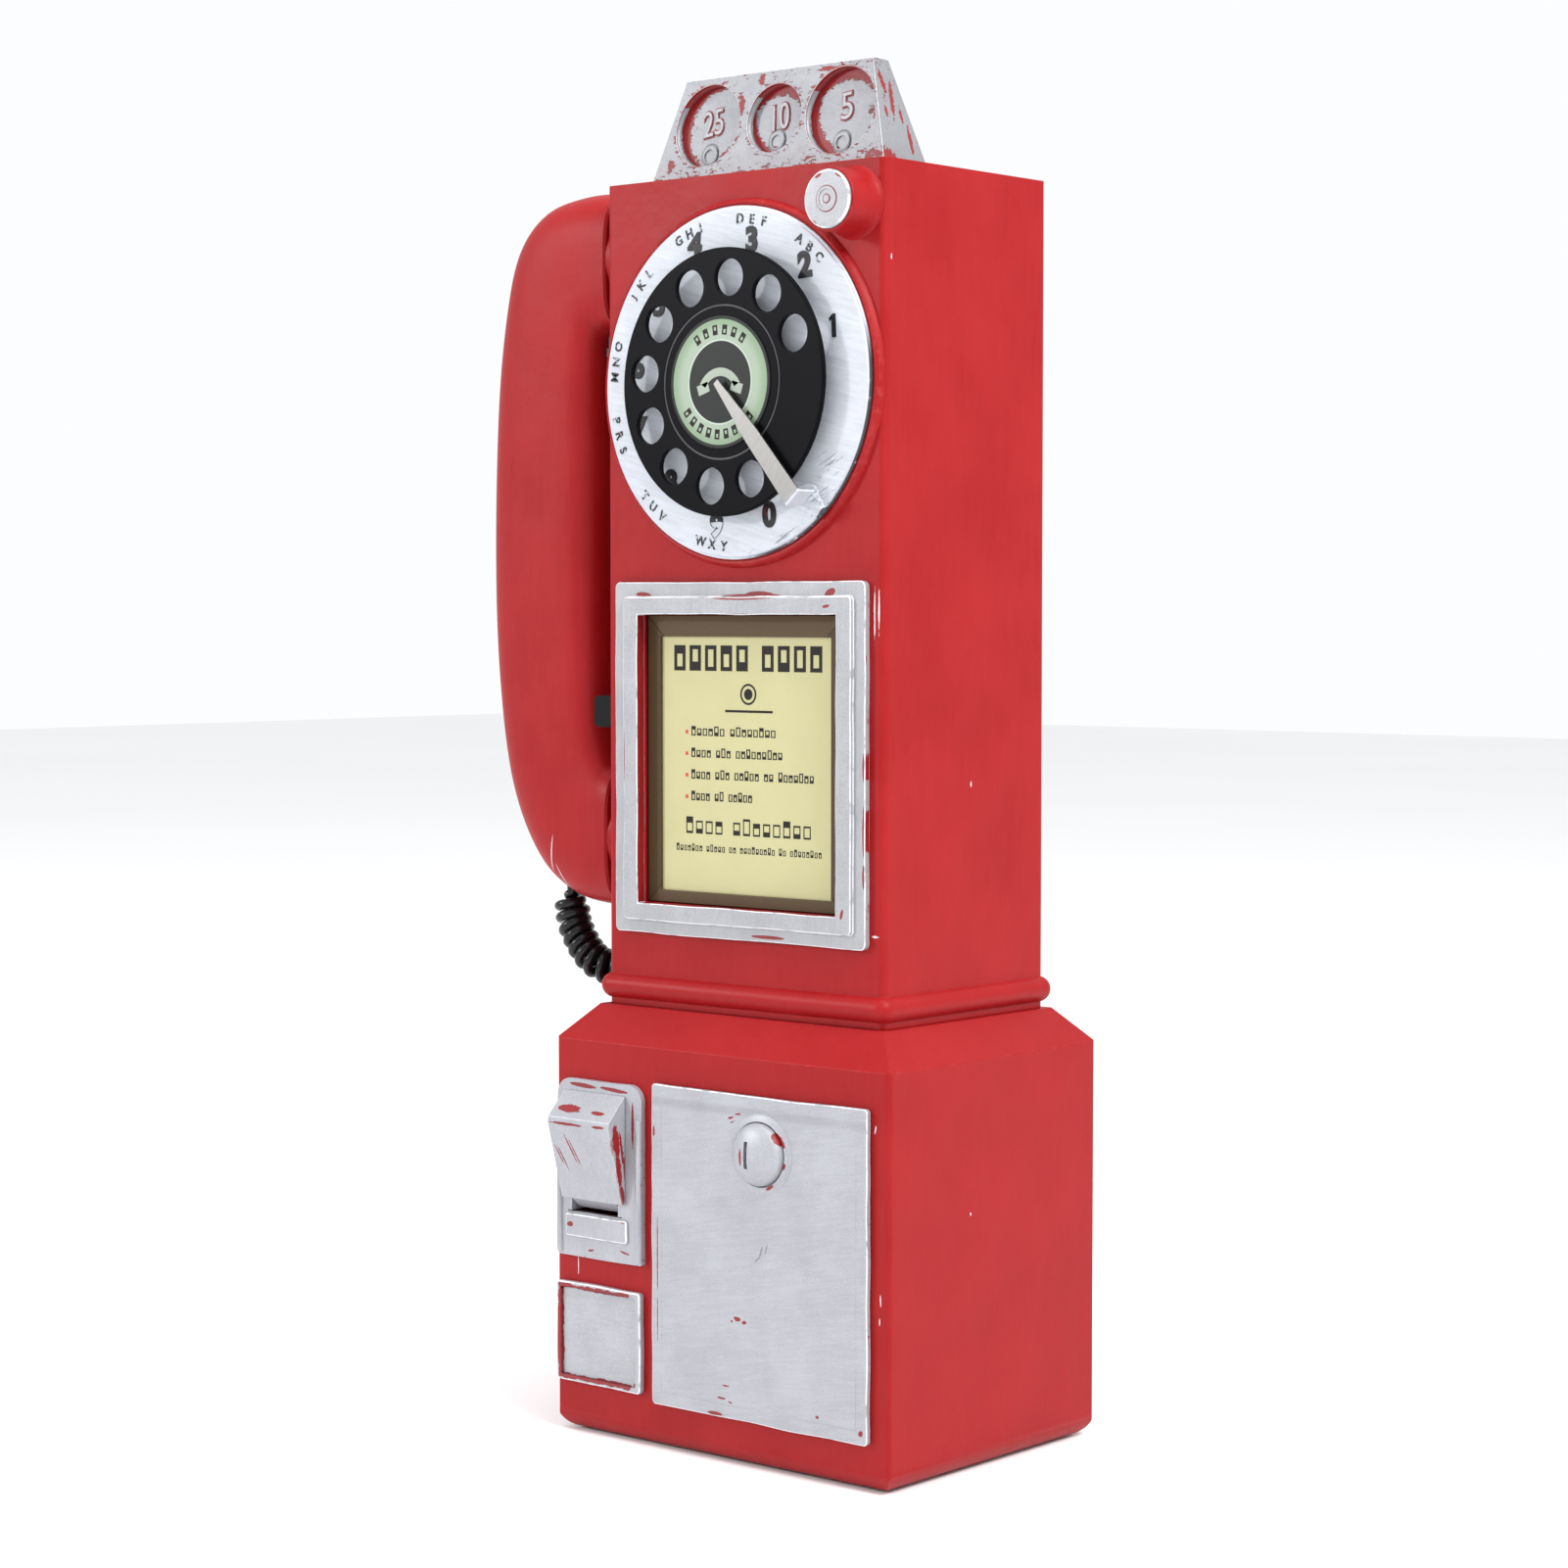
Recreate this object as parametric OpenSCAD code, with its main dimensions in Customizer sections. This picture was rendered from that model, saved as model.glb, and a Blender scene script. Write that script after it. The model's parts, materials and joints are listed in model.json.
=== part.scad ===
// Wall-mounted three-slot payphone with a rotary dial, in millimetres.
// +Z is up and the front faces -Y. The origin is the middle of the base's underside.

/* [Column] */
// Width of the column that carries the dial
column_w = 124; // [122:1:126]
// Depth of the column
column_d = 88; // [87:1:89]
// Height of the column's top
column_top = 434; // [433:1:436]
// Wall thickness of both castings
wall = 3; // [2.8:0.1:3.2]

/* [Base] */
// Width of the base that holds the cash box
base_w = 150; // [148:1:152]
// Depth of the base
base_d = 114; // [113:1:116]
// Height of the base's upright walls
base_h = 138; // [137:1:139]
// Height where the base's shoulder meets the column
shoulder_top = 150; // [149:0.5:150]
// Radius of the base's bottom edge
bottom_r = 8; // [7:0.5:9]

/* [Coin head] */
// Height of the coin head above the column
head_h = 36; // [35:1:38]
// Width of the coin head at its foot
head_foot_w = 104; // [102:1:108]
// Width of the coin head at its top
head_top_w = 83; // [82:1:86]

/* [Dial] */
// Height of the dial's centre
dial_z = 363.4; // [362:0.2:365]
// Radius of the number plate
plate_r = 59; // [58:0.5:60]
// Radius of the finger wheel
wheel_r = 44.75; // [44:0.25:46]
// Radius of the circle through the finger holes
hole_circle_r = 34.8; // [34:0.2:36]
// Diameter of a finger hole
hole_d = 12.5; // [12:0.5:13.5]

/* [Instruction card] */
// Height of the card frame's lower edge
frame_low = 176; // [175:1:177]
// Height of the card frame's upper edge
frame_high = 297; // [296:1:298]
// Width of the card frame
frame_w = 112; // [110:1:114]

/* [Vault door] */
// Left edge of the vault door
door_left = -27.5; // [-28:0.5:-27]
// Right edge of the vault door
door_right = 67.5; // [67:0.5:68]
// Lower edge of the vault door
door_low = 16; // [15:1:17]
// Upper edge of the vault door
door_high = 126; // [125:1:127]

/* [Handset] */
// Depth of the handset, front to back
handset_d = 38; // [36:1:40]
// Outside diameter of the curly cord's coil
curl_d = 13; // [12:0.5:13]

/* [Hidden] */
$fn = 64;
front = -column_d / 2;
back = column_d / 2;
inside_front = front + wall;
base_front = -base_d / 2;
base_back = base_d / 2;
column_half = column_w / 2;
base_half = base_w / 2;
// Half width and half depth of the shoulder's top edge
shoulder_half = column_half + 2;
shoulder_half_d = back + 2;
column_r = 2.5;
base_r = 2;
// Bead around the column's foot
bead_r = 4.5;
bead_z = 156.5;
bead_in = 1.5;
// Gaps: between moving bodies, and between a shaft and its bearing
gap = 0.3;
run = 0.05;

// Coin head: y of its front and back faces at the foot and at the top, and the coin slots
head_foot_y = [-32, -9];
head_top_y = [-25, -17];
head_lean = atan((head_top_y[0] - head_foot_y[0]) / head_h);
head_recess_z = 453.5;
head_recess = [[-29, 14.5], [1, 12], [30, 15]];
recess_depth = 3.2;
// Width and thickness of each coin slot, left to right
coin_slots = [[26, 2.4], [19.5, 2], [23, 2.5]];
slot_y = -19.6;

// Dial layout, front to back
wheel_front = -54.3;
wheel_t = 2;
plate_front = front - 4;
collar_front = front - 2;
card_r = 22;
shaft_r = 3.5;
first_hole_angle = 25;
hole_step = 29.6;
stop_angle = -49.3;
stop_reach = 52;
stop_front = -57;
stop_t = 0.8;
gear_module = 1;
gear_teeth = 48;
pinion_teeth = 12;
gear_gap = gear_module * (gear_teeth + pinion_teeth) / 2;
gear_front = -31;
gear_back = -28;
gear_play = 0.3;

// Push button
button_x = 49.5;
button_z = 420;
button_front = -58.5;
button_r = 9.55;
pocket_floor = -47.5;
plunger_r = 4;

// Card opening and the card behind it
opening_half = 44.5;
opening_low = 186.5;
opening_high = 286;
card_half = 38.2;
card_low = 191;
card_high = 278.4;

// Vault door parts
door_front = base_front - 2.3;
door_face_t = 2;
plug_back = -52;
plug_margin = 4.5;
lock_x = 22;
lock_z = 107;
lock_r = 8.95;
bolt_front = -51.7;
bolt_back = -48;

// Coin return
return_left = -72.5;
return_right = -32.5;
return_low = 62.5;
return_high = 124.5;
return_front = base_front - 2;
scoop_left = -69;
scoop_right = -40;
scoop_z = 81;
scoop_y = base_front;
scoop_reach = 35;
scoop_lip = 10.3;

// Coin path inside the column
chute_half = 46;
chute_low = 300;
chute_bend = 405;
vane_z = 210;

// Handset and its hook
handset_y = -20;
ear_z = 410;
mouth_z = 207;
cup_face_x = -68;
handset_outer = [[-68, 434], [-86, 434], [-104, 430], [-117, 418], [-124, 397], [-129, 362], [-131, 308],
                 [-129, 262], [-122, 223], [-108, 197], [-90, 185], [-68, 182]];
handset_inner = [[-68, 386], [-72, 386], [-75, 384], [-76.2, 379], [-76.6, 368], [-77, 344], [-77.2, 308],
                 [-77, 276], [-76.2, 252], [-74.5, 241], [-71.5, 234], [-68, 231]];
hook_x = -50;
hook_z = 378;

// Middle of the curly cord's coil, from the handset down to the grommet
cord_route = [[-99, -24, 185], [-99, -24, 181], [-98, -24, 175], [-95, -24, 169.5], [-91, -24, 164.5],
              [-86.5, -23.5, 161], [-82, -21.5, 159], [-78, -18, 158.5], [-75.5, -13, 159.5],
              [-74.5, -7.5, 161.5], [-74, -2, 164], [-72, 3, 166.5], [-68, 6, 168]];
grommet_y = 7;
grommet_z = 168.5;

// Wall bracket
bracket_half = 48;
bracket_low = 185;
bracket_high = 425;
bracket_bolt_x = 35;
bracket_bolt_z = [215, 395];
bracket_hole_r = 3.2;
cable_hole_r = 11;
cable_hole_z = 255;
panel_front = 40;

// Screws: radius of the shank and of the head, and where they sit
screw_r = 2;
screw_head_r = 3.8;
boss_r = 4.5;
boss_top = 15;
pan_screw_x = base_half - 13.5;
pan_screw_y = base_back - 13.2;
panel_screw_x = 53;
panel_screw_z = [166, 418];

// Ringer gongs
bell_x = 20.5;
bell_z = 398;
bell_r = 15;

// Handset cross-section: sides of a ring, rings between outline points, and squareness of
// the corners on the side of the hand's back and on the side of the grip
handset_sides = 28;
handset_steps = 3;
handset_round = 3.2;
handset_grip_round = 4.5;
handset_count = (len(handset_outer) - 1) * handset_steps;

// ---- Shared shapes ----

// Block from its low corner to its high corner
module block(low, high) {
  translate(low) cube(high - low);
}

// Rectangle with round corners, from its low corner to its high corner
module round_rect(low, high, r) {
  translate([low[0] + r, low[1]]) square([high[0] - low[0] - 2 * r, high[1] - low[1]]);
  translate([low[0], low[1] + r]) square([high[0] - low[0], high[1] - low[1] - 2 * r]);
  for (x = [low[0] + r, high[0] - r])
    for (y = [low[1] + r, high[1] - r])
      translate([x, y]) circle(r);
}

// Stands an outline drawn in x and z upright, filling y from y0 to y1
module upright(y0, y1) {
  translate([0, y1, 0]) rotate([90, 0, 0]) linear_extrude(y1 - y0) children();
}

// Plate that faces the front, with round corners
module front_plate(x0, x1, z0, z1, y0, y1, r) {
  upright(y0, y1) round_rect([x0, z0], [x1, z1], r);
}

// Cylinder along Y from y0 to y1
module rod_y(r, y0, y1, x, z) {
  translate([x, y1, z]) rotate([90, 0, 0]) cylinder(r = r, h = y1 - y0);
}

// Cylinder along X from x0 to x1
module rod_x(r, x0, x1, y, z) {
  translate([x0, y, z]) rotate([0, 90, 0]) cylinder(r = r, h = x1 - x0);
}

// Turned ring along Y, from y0 to y1
module ring_y(r_out, r_in, y0, y1, x, z) {
  difference() {
    rod_y(r_out, y0, y1, x, z);
    rod_y(r_in, y0 - 1, y1 + 1, x, z);
  }
}

function unit(v) = v / norm(v);
function tangent(p, i) = unit(p[min(i + 1, len(p) - 1)] - p[max(i - 1, 0)]);
function ring_points(p, i, r, sides, side_ref) =
  let (t = tangent(p, i), u = unit(cross(t, side_ref)), w = cross(t, u))
  [for (k = [0:sides - 1]) p[i] + r * (u * cos(k * 360 / sides) + w * sin(k * 360 / sides))];
function tube_faces(rings, sides) = concat(
  [[for (k = [0:sides - 1]) k]],
  [[for (k = [sides - 1:-1:0]) (rings - 1) * sides + k]],
  [for (i = [0:rings - 2]) for (k = [0:sides - 1])
    [i * sides + k, (i + 1) * sides + k, (i + 1) * sides + (k + 1) % sides]],
  [for (i = [0:rings - 2]) for (k = [0:sides - 1])
    [i * sides + k, (i + 1) * sides + (k + 1) % sides, i * sides + (k + 1) % sides]]);

// Round bar of radius r along the points p
module sweep(p, r, sides, side_ref) {
  polyhedron(points = [for (i = [0:len(p) - 1]) each ring_points(p, i, r, sides, side_ref)],
             faces = tube_faces(len(p), sides));
}

// Points of a coil spring along Y
function coil_points(r, y0, y1, x, z, turns) =
  [for (i = [0:turns * 12]) [x + r * cos(i * 30), y0 + (y1 - y0) * i / (turns * 12), z + r * sin(i * 30)]];

// Involute gear outline
function involute_angle(base, r) = let (t = sqrt(max(0, r * r / (base * base) - 1))) t * 180 / PI - atan(t);
function gear_outline(teeth) =
  let (pitch_r = gear_module * teeth / 2,
       base = pitch_r * cos(20),
       root = pitch_r - 1.1 * gear_module,
       tip = pitch_r + 0.7 * gear_module,
       half = 90 / teeth - gear_play / pitch_r * 90 / PI,
       radii = [root, max(root, base), pitch_r - 0.1, pitch_r + 0.3, tip])
  [for (i = [0:teeth - 1]) for (k = [0:9])
    let (r = k < 5 ? radii[k] : radii[9 - k],
         side = k < 5 ? -1 : 1,
         a = i * 360 / teeth + side * (half + involute_angle(base, pitch_r) - involute_angle(base, r)))
    r * [cos(a), sin(a)]];

// Smooth curve through points: the spot a share u of the way from point i to the next
function smooth(p, i, u) =
  let (a = p[max(i - 1, 0)], b = p[i], c = p[min(i + 1, len(p) - 1)], d = p[min(i + 2, len(p) - 1)])
  0.5 * (2 * b + u * (c - a) + u * u * (2 * a - 5 * b + 4 * c - d) + u * u * u * (3 * b - a - 3 * c + d));

// ---- Base ----

// Side view of the base with its shoulder, inset by t
module base_view(half, top_half, t) {
  high = shoulder_top + (t > 0 ? 1 : 0);
  polygon([[-half + bottom_r, t], [-half + t, bottom_r], [-half + t, base_h - t / 2],
           [-top_half + t * 1.6, high], [top_half - t * 1.6, high], [half - t, base_h - t / 2],
           [half - t, bottom_r], [half - bottom_r, t]]);
}

module base_foot_view(half) {
  translate([-half + bottom_r, 0]) square([2 * (half - bottom_r), bottom_r + 1]);
  for (s = [-1, 1]) translate([s * (half - bottom_r), bottom_r]) circle(bottom_r);
}

module base_solid() {
  intersection() {
    linear_extrude(shoulder_top) round_rect([-base_half, base_front], [base_half, base_back], base_r);
    upright(base_front - 1, base_back + 1) {
      base_view(base_half, shoulder_half, 0);
      base_foot_view(base_half);
    }
    rotate([0, 0, 90]) upright(-base_half - 1, base_half + 1) {
      base_view(base_back, shoulder_half_d, 0);
      base_foot_view(base_back);
    }
  }
}

// Inside of the base, with the opening in its foot that the pan closes
module base_hollow() {
  intersection() {
    upright(base_front + wall, base_back - wall) base_view(base_half, shoulder_half, wall);
    rotate([0, 0, 90]) upright(-base_half + wall, base_half - wall)
      base_view(base_back, shoulder_half_d, wall);
  }
  block([-base_half + bottom_r, base_front + bottom_r, -1],
        [base_half - bottom_r, base_back - bottom_r, wall + 1]);
}

module base_housing() {
  color("firebrick") difference() {
    union() {
      difference() {
        base_solid();
        base_hollow();
      }
      for (x = [-1, 1]) for (y = [-1, 1])
        translate([x * pan_screw_x, y * pan_screw_y, wall]) cylinder(r = boss_r, h = boss_top - wall);
      // Ribs from the bosses to the side walls
      for (x = [-1, 1]) for (y = [-1, 1])
        block([x > 0 ? pan_screw_x : -base_half + 2, y * pan_screw_y - 1, wall],
              [x > 0 ? base_half - 2 : -pan_screw_x, y * pan_screw_y + 1, boss_top]);
    }
    for (x = [-1, 1]) for (y = [-1, 1])
      translate([x * pan_screw_x, y * pan_screw_y, 0]) cylinder(r = screw_r + run, h = 13);
    front_plate(door_left + plug_margin - gap, door_right - plug_margin + gap, door_low + plug_margin - gap,
                door_high - plug_margin + gap, base_front - 1, base_front + wall + 1, 3);
    block([scoop_left + 1.3, base_front - 1, scoop_z - 3.2],
          [scoop_right - 1.3, base_front + wall + 1, scoop_z + 36.2]);
    // Access hole behind the lower cover
    rod_y(10, base_front - 1, base_front + wall + 1, -53.5, 34.5);
  }
}

module base_pan() {
  color("dimgray") difference() {
    block([-base_half + bottom_r, base_front + bottom_r, 0],
          [base_half - bottom_r, base_back - bottom_r, wall]);
    for (x = [-1, 1]) for (y = [-1, 1]) {
      translate([x * pan_screw_x, y * pan_screw_y, -1]) cylinder(r = screw_r + run, h = wall + 2);
      translate([x * pan_screw_x, y * pan_screw_y, -1]) cylinder(r = screw_head_r + 0.5, h = 2.5);
    }
  }
}

module housing_screws() {
  color("silver") {
    for (x = [-1, 1]) for (y = [-1, 1]) translate([x * pan_screw_x, y * pan_screw_y, 0]) difference() {
      union() {
        translate([0, 0, 0.3]) cylinder(r = screw_head_r, h = 1.2);
        translate([0, 0, 1]) cylinder(r = screw_r, h = 11);
      }
      block([-3, -0.4, 0], [3, 0.4, 0.9]);
    }
    for (x = [-1, 1]) for (z = panel_screw_z) difference() {
      union() {
        rod_y(screw_head_r, back, back + 1.6, x * panel_screw_x, z);
        rod_y(screw_r, back - 10, back + 1, x * panel_screw_x, z);
      }
      block([x * panel_screw_x - 3, back + 1, z - 0.4], [x * panel_screw_x + 3, back + 2, z + 0.4]);
    }
  }
}

// ---- Column ----

module column_housing() {
  color("firebrick") difference() {
    union() {
      translate([0, 0, shoulder_top]) linear_extrude(column_top - shoulder_top)
        round_rect([-column_half, front], [column_half, back], column_r);
      for (y = [-1, 1])
        rod_x(bead_r, -column_half + bead_in, column_half - bead_in, y * (back - bead_in), bead_z);
      for (x = [-1, 1])
        rod_y(bead_r, front + bead_in, back - bead_in, x * (column_half - bead_in), bead_z);
      for (x = [-1, 1]) for (y = [-1, 1])
        translate([x * (column_half - bead_in), y * (back - bead_in), bead_z]) sphere(bead_r);
    }
    difference() {
      block([-column_half + wall, inside_front, shoulder_top - 1],
            [column_half - wall, back + 6, column_top - wall]);
      for (x = [-1, 1]) for (z = panel_screw_z)
        block([x > 0 ? panel_screw_x - 5 : -column_half, panel_front - 12, z - 5],
              [x > 0 ? column_half : -panel_screw_x + 5, panel_front, z + 5]);
    }
    for (x = [-1, 1]) for (z = panel_screw_z)
      rod_y(screw_r + run, panel_front - 13, panel_front + 5, x * panel_screw_x, z);
    rod_y(20, front - 1, inside_front + 1, 0, dial_z);
    rod_y(9, front - 1, inside_front + 1, button_x, button_z);
    block([-opening_half, front - 1, opening_low], [opening_half, inside_front + 1, opening_high]);
    block([-chute_half + 1, slot_y - 5, column_top - wall - 1], [chute_half - 1, slot_y + 5, column_top + 1]);
    // Slot for the hook, and the cord's hole
    block([-column_half - 1, handset_y - 14.5, hook_z - 4],
          [-column_half + wall + 1, handset_y + 14.5, hook_z + 16]);
    rod_x(5, -column_half - 1, -column_half + wall + 1, grommet_y, grommet_z);
  }
}

module back_panel() {
  color("dimgray") difference() {
    block([-column_half + wall, panel_front, shoulder_top + 1],
          [column_half - wall, back, column_top - wall]);
    for (x = [-1, 1]) for (z = panel_screw_z)
      rod_y(screw_r + run, panel_front - 1, back + 1, x * panel_screw_x, z);
    for (x = [-1, 1]) for (z = bracket_bolt_z)
      rod_y(bracket_hole_r + 4, panel_front - 1, back + 1, x * bracket_bolt_x, z);
    rod_y(cable_hole_r, panel_front - 1, back + 1, 0, cable_hole_z);
  }
}

module wall_bracket() {
  color("dimgray") difference() {
    block([-bracket_half, back, bracket_low], [bracket_half, base_back, bracket_high]);
    block([-bracket_half + 3, back - 1, bracket_low + 3],
          [bracket_half - 3, base_back - 3, bracket_high - 3]);
    for (x = [-1, 1]) for (z = bracket_bolt_z)
      rod_y(bracket_hole_r, base_back - 4, base_back + 1, x * bracket_bolt_x, z);
    rod_y(cable_hole_r, base_back - 4, base_back + 1, 0, cable_hole_z);
  }
}

// ---- Coin head and push button ----

module head_recess_cut(x, r, depth) {
  y = head_foot_y[0] + (head_recess_z - column_top) * tan(head_lean);
  translate([x, y, head_recess_z]) rotate([-head_lean, 0, 0]) rod_y(r, -3, depth, 0, 0);
}

module head_ring(x, r) {
  y = head_foot_y[0] + (head_recess_z - column_top) * tan(head_lean);
  translate([x, y, head_recess_z]) rotate([-head_lean, 0, 0])
    ring_y(3.6, 2.4, recess_depth - 0.5, recess_depth + 0.5, 0, 4.6 - r);
}

module coin_head() {
  color("silver") difference() {
    union() {
      difference() {
        intersection() {
          upright(head_foot_y[0], head_foot_y[1])
            polygon([[-head_foot_w / 2, column_top], [-head_top_w / 2, column_top + head_h],
                     [head_top_w / 2, column_top + head_h], [head_foot_w / 2, column_top]]);
          rotate([0, 0, 90]) upright(-head_foot_w / 2, head_foot_w / 2)
            polygon([[head_foot_y[0], column_top], [head_top_y[0], column_top + head_h],
                     [head_top_y[1], column_top + head_h], [head_foot_y[1], column_top]]);
        }
        for (c = head_recess) head_recess_cut(c[0], c[1], recess_depth);
      }
      for (c = head_recess) head_ring(c[0], c[1]);
    }
    for (i = [0:2]) {
      s = coin_slots[i];
      block([head_recess[i][0] - s[0] / 2, slot_y - s[1] / 2, column_top - 1],
            [head_recess[i][0] + s[0] / 2, slot_y + s[1] / 2, column_top + head_h + 1]);
    }
  }
}

module button_collar() {
  color("firebrick") translate([button_x, 0, button_z]) rotate([90, 0, 0]) rotate_extrude()
    polygon([[plunger_r + run, -inside_front - 1], [8.9, -inside_front - 1], [8.9, -front], [12.3, -front],
             [11.4, -front + 0.8], [10.8, -front + 2.4], [10.5, -front + 4.5], [10.4, 57.2], [10.1, 57.5],
             [button_r + run, 57.5], [button_r + run, -pocket_floor], [plunger_r + run, -pocket_floor]]);
}

module push_button() {
  color("silver") {
    rod_y(button_r, button_front, button_front + 4, button_x, button_z);
    rod_y(plunger_r, button_front + 3.5, -30, button_x, button_z);
    rod_y(6, -34.5, -33, button_x, button_z);
  }
}

module button_spring() {
  color("gray") sweep(coil_points(6.3, pocket_floor - 0.5, button_front + 4.5, button_x, button_z, 2),
                      0.45, 6, [0, 1, 0.01]);
}

// ---- Dial ----

module dial_collar() {
  color("firebrick") ring_y(plate_r + 1.5, 20, collar_front, front, 0, dial_z);
}

module number_plate() {
  color("whitesmoke") difference() {
    union() {
      rod_y(plate_r, plate_front + 0.8, collar_front, 0, dial_z);
      rod_y(plate_r - 0.8, plate_front, collar_front, 0, dial_z);
    }
    rod_y(8, plate_front - 1, collar_front + 1, 0, dial_z);
  }
}

module finger_wheel() {
  color("black") difference() {
    union() {
      rod_y(wheel_r - 0.6, wheel_front, wheel_front + wheel_t, 0, dial_z);
      rod_y(wheel_r, wheel_front + 0.5, wheel_front + wheel_t - 0.4, 0, dial_z);
      rod_y(13, wheel_front + wheel_t - 0.5, plate_front - gap, 0, dial_z);
    }
    for (i = [0:9]) {
      a = first_hole_angle + i * hole_step;
      rod_y(hole_d / 2, wheel_front - 1, wheel_front + wheel_t + 1,
            hole_circle_r * cos(a), dial_z + hole_circle_r * sin(a));
    }
    ring_y(25.9, 25.2, wheel_front - 1, wheel_front + 0.4, 0, dial_z);
    rod_y(shaft_r, wheel_front - 1, 0, 0, dial_z);
  }
}

module dial_card() {
  color("darkseagreen") rod_y(card_r, wheel_front - 0.4, wheel_front, 0, dial_z);
}

module finger_stop() {
  half_tip = 1.1;
  half_kink = 3.1;
  half_end = 3.6;
  kink = 24;
  color("silver") translate([0, 0, dial_z]) rotate([0, -stop_angle, 0]) {
    upright(stop_front, stop_front + stop_t)
      polygon([[0, -half_tip], [kink, -half_kink], [stop_reach, -half_end],
               [stop_reach, half_end], [kink, half_kink], [0, half_tip]]);
    block([stop_reach - stop_t, stop_front, -half_end], [stop_reach, plate_front - stop_t, half_end]);
    block([stop_reach - stop_t, plate_front - stop_t, -half_end], [stop_reach + 4.5, plate_front, half_end]);
  }
}

module dial_shaft() {
  color("silver") {
    rod_y(shaft_r, wheel_front, -18, 0, dial_z);
    rod_y(6, gear_back, gear_back + 1.5, 0, dial_z);
  }
}

module dial_frame() {
  color("goldenrod") difference() {
    union() {
      rod_y(36, -34, -32.3, 0, dial_z);
      rod_y(7, -40, -33, 0, dial_z);
      for (i = [0:2]) rod_y(3, inside_front, -33, 31 * cos(90 + i * 120), dial_z + 31 * sin(90 + i * 120));
    }
    rod_y(shaft_r + run, -50, -20, 0, dial_z);
    rod_y(1.5 + run, -35, -32, -gear_gap, dial_z);
  }
}

module main_gear() {
  color("goldenrod") difference() {
    translate([0, 0, dial_z]) upright(gear_front, gear_back) polygon(gear_outline(gear_teeth));
    rod_y(shaft_r, gear_front - 1, gear_back + 1, 0, dial_z);
    for (i = [0:4]) rod_y(4.5, gear_front - 1, gear_back + 1, 14 * cos(i * 72), dial_z + 14 * sin(i * 72));
  }
}

module governor_pinion() {
  color("goldenrod") {
    translate([-gear_gap, 0, dial_z]) rotate([0, 180 / pinion_teeth, 0])
      upright(gear_front, gear_back) polygon(gear_outline(pinion_teeth));
    rod_y(1.5, -35, gear_front, -gear_gap, dial_z);
    rod_y(1.5, gear_back, -17.5, -gear_gap, dial_z);
    difference() {
      rod_y(10.5, -26, -23, -gear_gap, dial_z);
      rod_y(1.5, -27, -22, -gear_gap, dial_z);
      // Slots between the two weights
      for (s = [-1, 1])
        block([-gear_gap + s * 7 - 1, -27, dial_z - 4], [-gear_gap + s * 7 + 1, -22, dial_z + 4]);
    }
  }
}

module governor_cup() {
  color("dimgray") difference() {
    rod_y(13, -27, -19, -gear_gap, dial_z);
    rod_y(11.5, -28, -20.5, -gear_gap, dial_z);
    rod_y(1.5 + run, -28, -18, -gear_gap, dial_z);
  }
  color("dimgray") difference() {
    block([-gear_gap - 3, -19, dial_z - 30], [-gear_gap + 3, -17.5, dial_z + 6]);
    rod_y(1.5 + run, -28, -17, -gear_gap, dial_z);
  }
  color("dimgray") rod_y(2.5, -32.3, -17.5, -gear_gap + 6, dial_z - 27);
}

// Flat spiral spring around the dial shaft
module mainspring() {
  inner = 5;
  outer = 14;
  turns = 5;
  thick = 0.5;
  steps = turns * 24;
  function spiral(i, off) =
    let (a = i * 15, r = inner + (outer - inner) * i / steps + off) [r * cos(a), r * sin(a)];
  color("steelblue") translate([0, 0, dial_z]) upright(-24.5, -20.5)
    polygon(concat([for (i = [0:steps]) spiral(i, 0)], [for (i = [steps:-1:0]) spiral(i, thick)]));
  color("steelblue") block([outer, -24.5, dial_z], [30, -20.5, dial_z + 1.5]);
  color("steelblue") block([27, -32.3, dial_z], [30, -24.5, dial_z + 1.5]);
}

module pulse_contacts() {
  color("saddlebrown") block([23, -32.3, dial_z - 24], [31, -22, dial_z - 18]);
  color("silver") for (i = [0:1])
    block([24 + i * 4, -27, dial_z - 18], [24.5 + i * 4, -23, dial_z - 6]);
}

// ---- Card window ----

module frame_step(half, low, high, y0, y1, r) {
  difference() {
    front_plate(-half, half, low, high, y0, y1, r);
    block([-opening_half, y0 - 1, opening_low], [opening_half, y1 + 1, opening_high]);
  }
}

module card_frame() {
  color("silver") {
    frame_step(frame_w / 2, frame_low, frame_high, front - 2.5, front, 2);
    frame_step(frame_w / 2 - 5, frame_low + 4.7, frame_high - 5, front - 4, front - 2.5, 1.5);
  }
}

module card_bezel() {
  color("saddlebrown") difference() {
    block([-opening_half + gap, -42.6, opening_low + gap], [opening_half - gap, -41.5, opening_high - gap]);
    block([-card_half, -43, card_low], [card_half, -41, card_high]);
  }
}

module notice_card() {
  color("khaki")
    block([-opening_half + 1, -41.5, opening_low + 1], [opening_half - 1, inside_front, opening_high - 1]);
}

module card_tray() {
  color("firebrick")
    front_plate(-50, 50, opening_low - 5, opening_high + 5, inside_front, inside_front + 2, 3);
}

// ---- Vault door and lock ----

module vault_door() {
  color("silver") difference() {
    union() {
      front_plate(door_left, door_right, door_low, door_high, door_front, door_front + door_face_t, 1.5);
      // Plug that fills the doorway
      front_plate(door_left + plug_margin, door_right - plug_margin, door_low + plug_margin,
                  door_high - plug_margin, door_front + door_face_t - 0.5, plug_back, 3);
    }
    rod_y(lock_r + run, door_front - 1, plug_back + 1, lock_x, lock_z);
  }
}

module lock_collar() {
  color("silver") ring_y(13.5, 10.8, door_front - 1, door_front, lock_x, lock_z);
}

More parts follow.
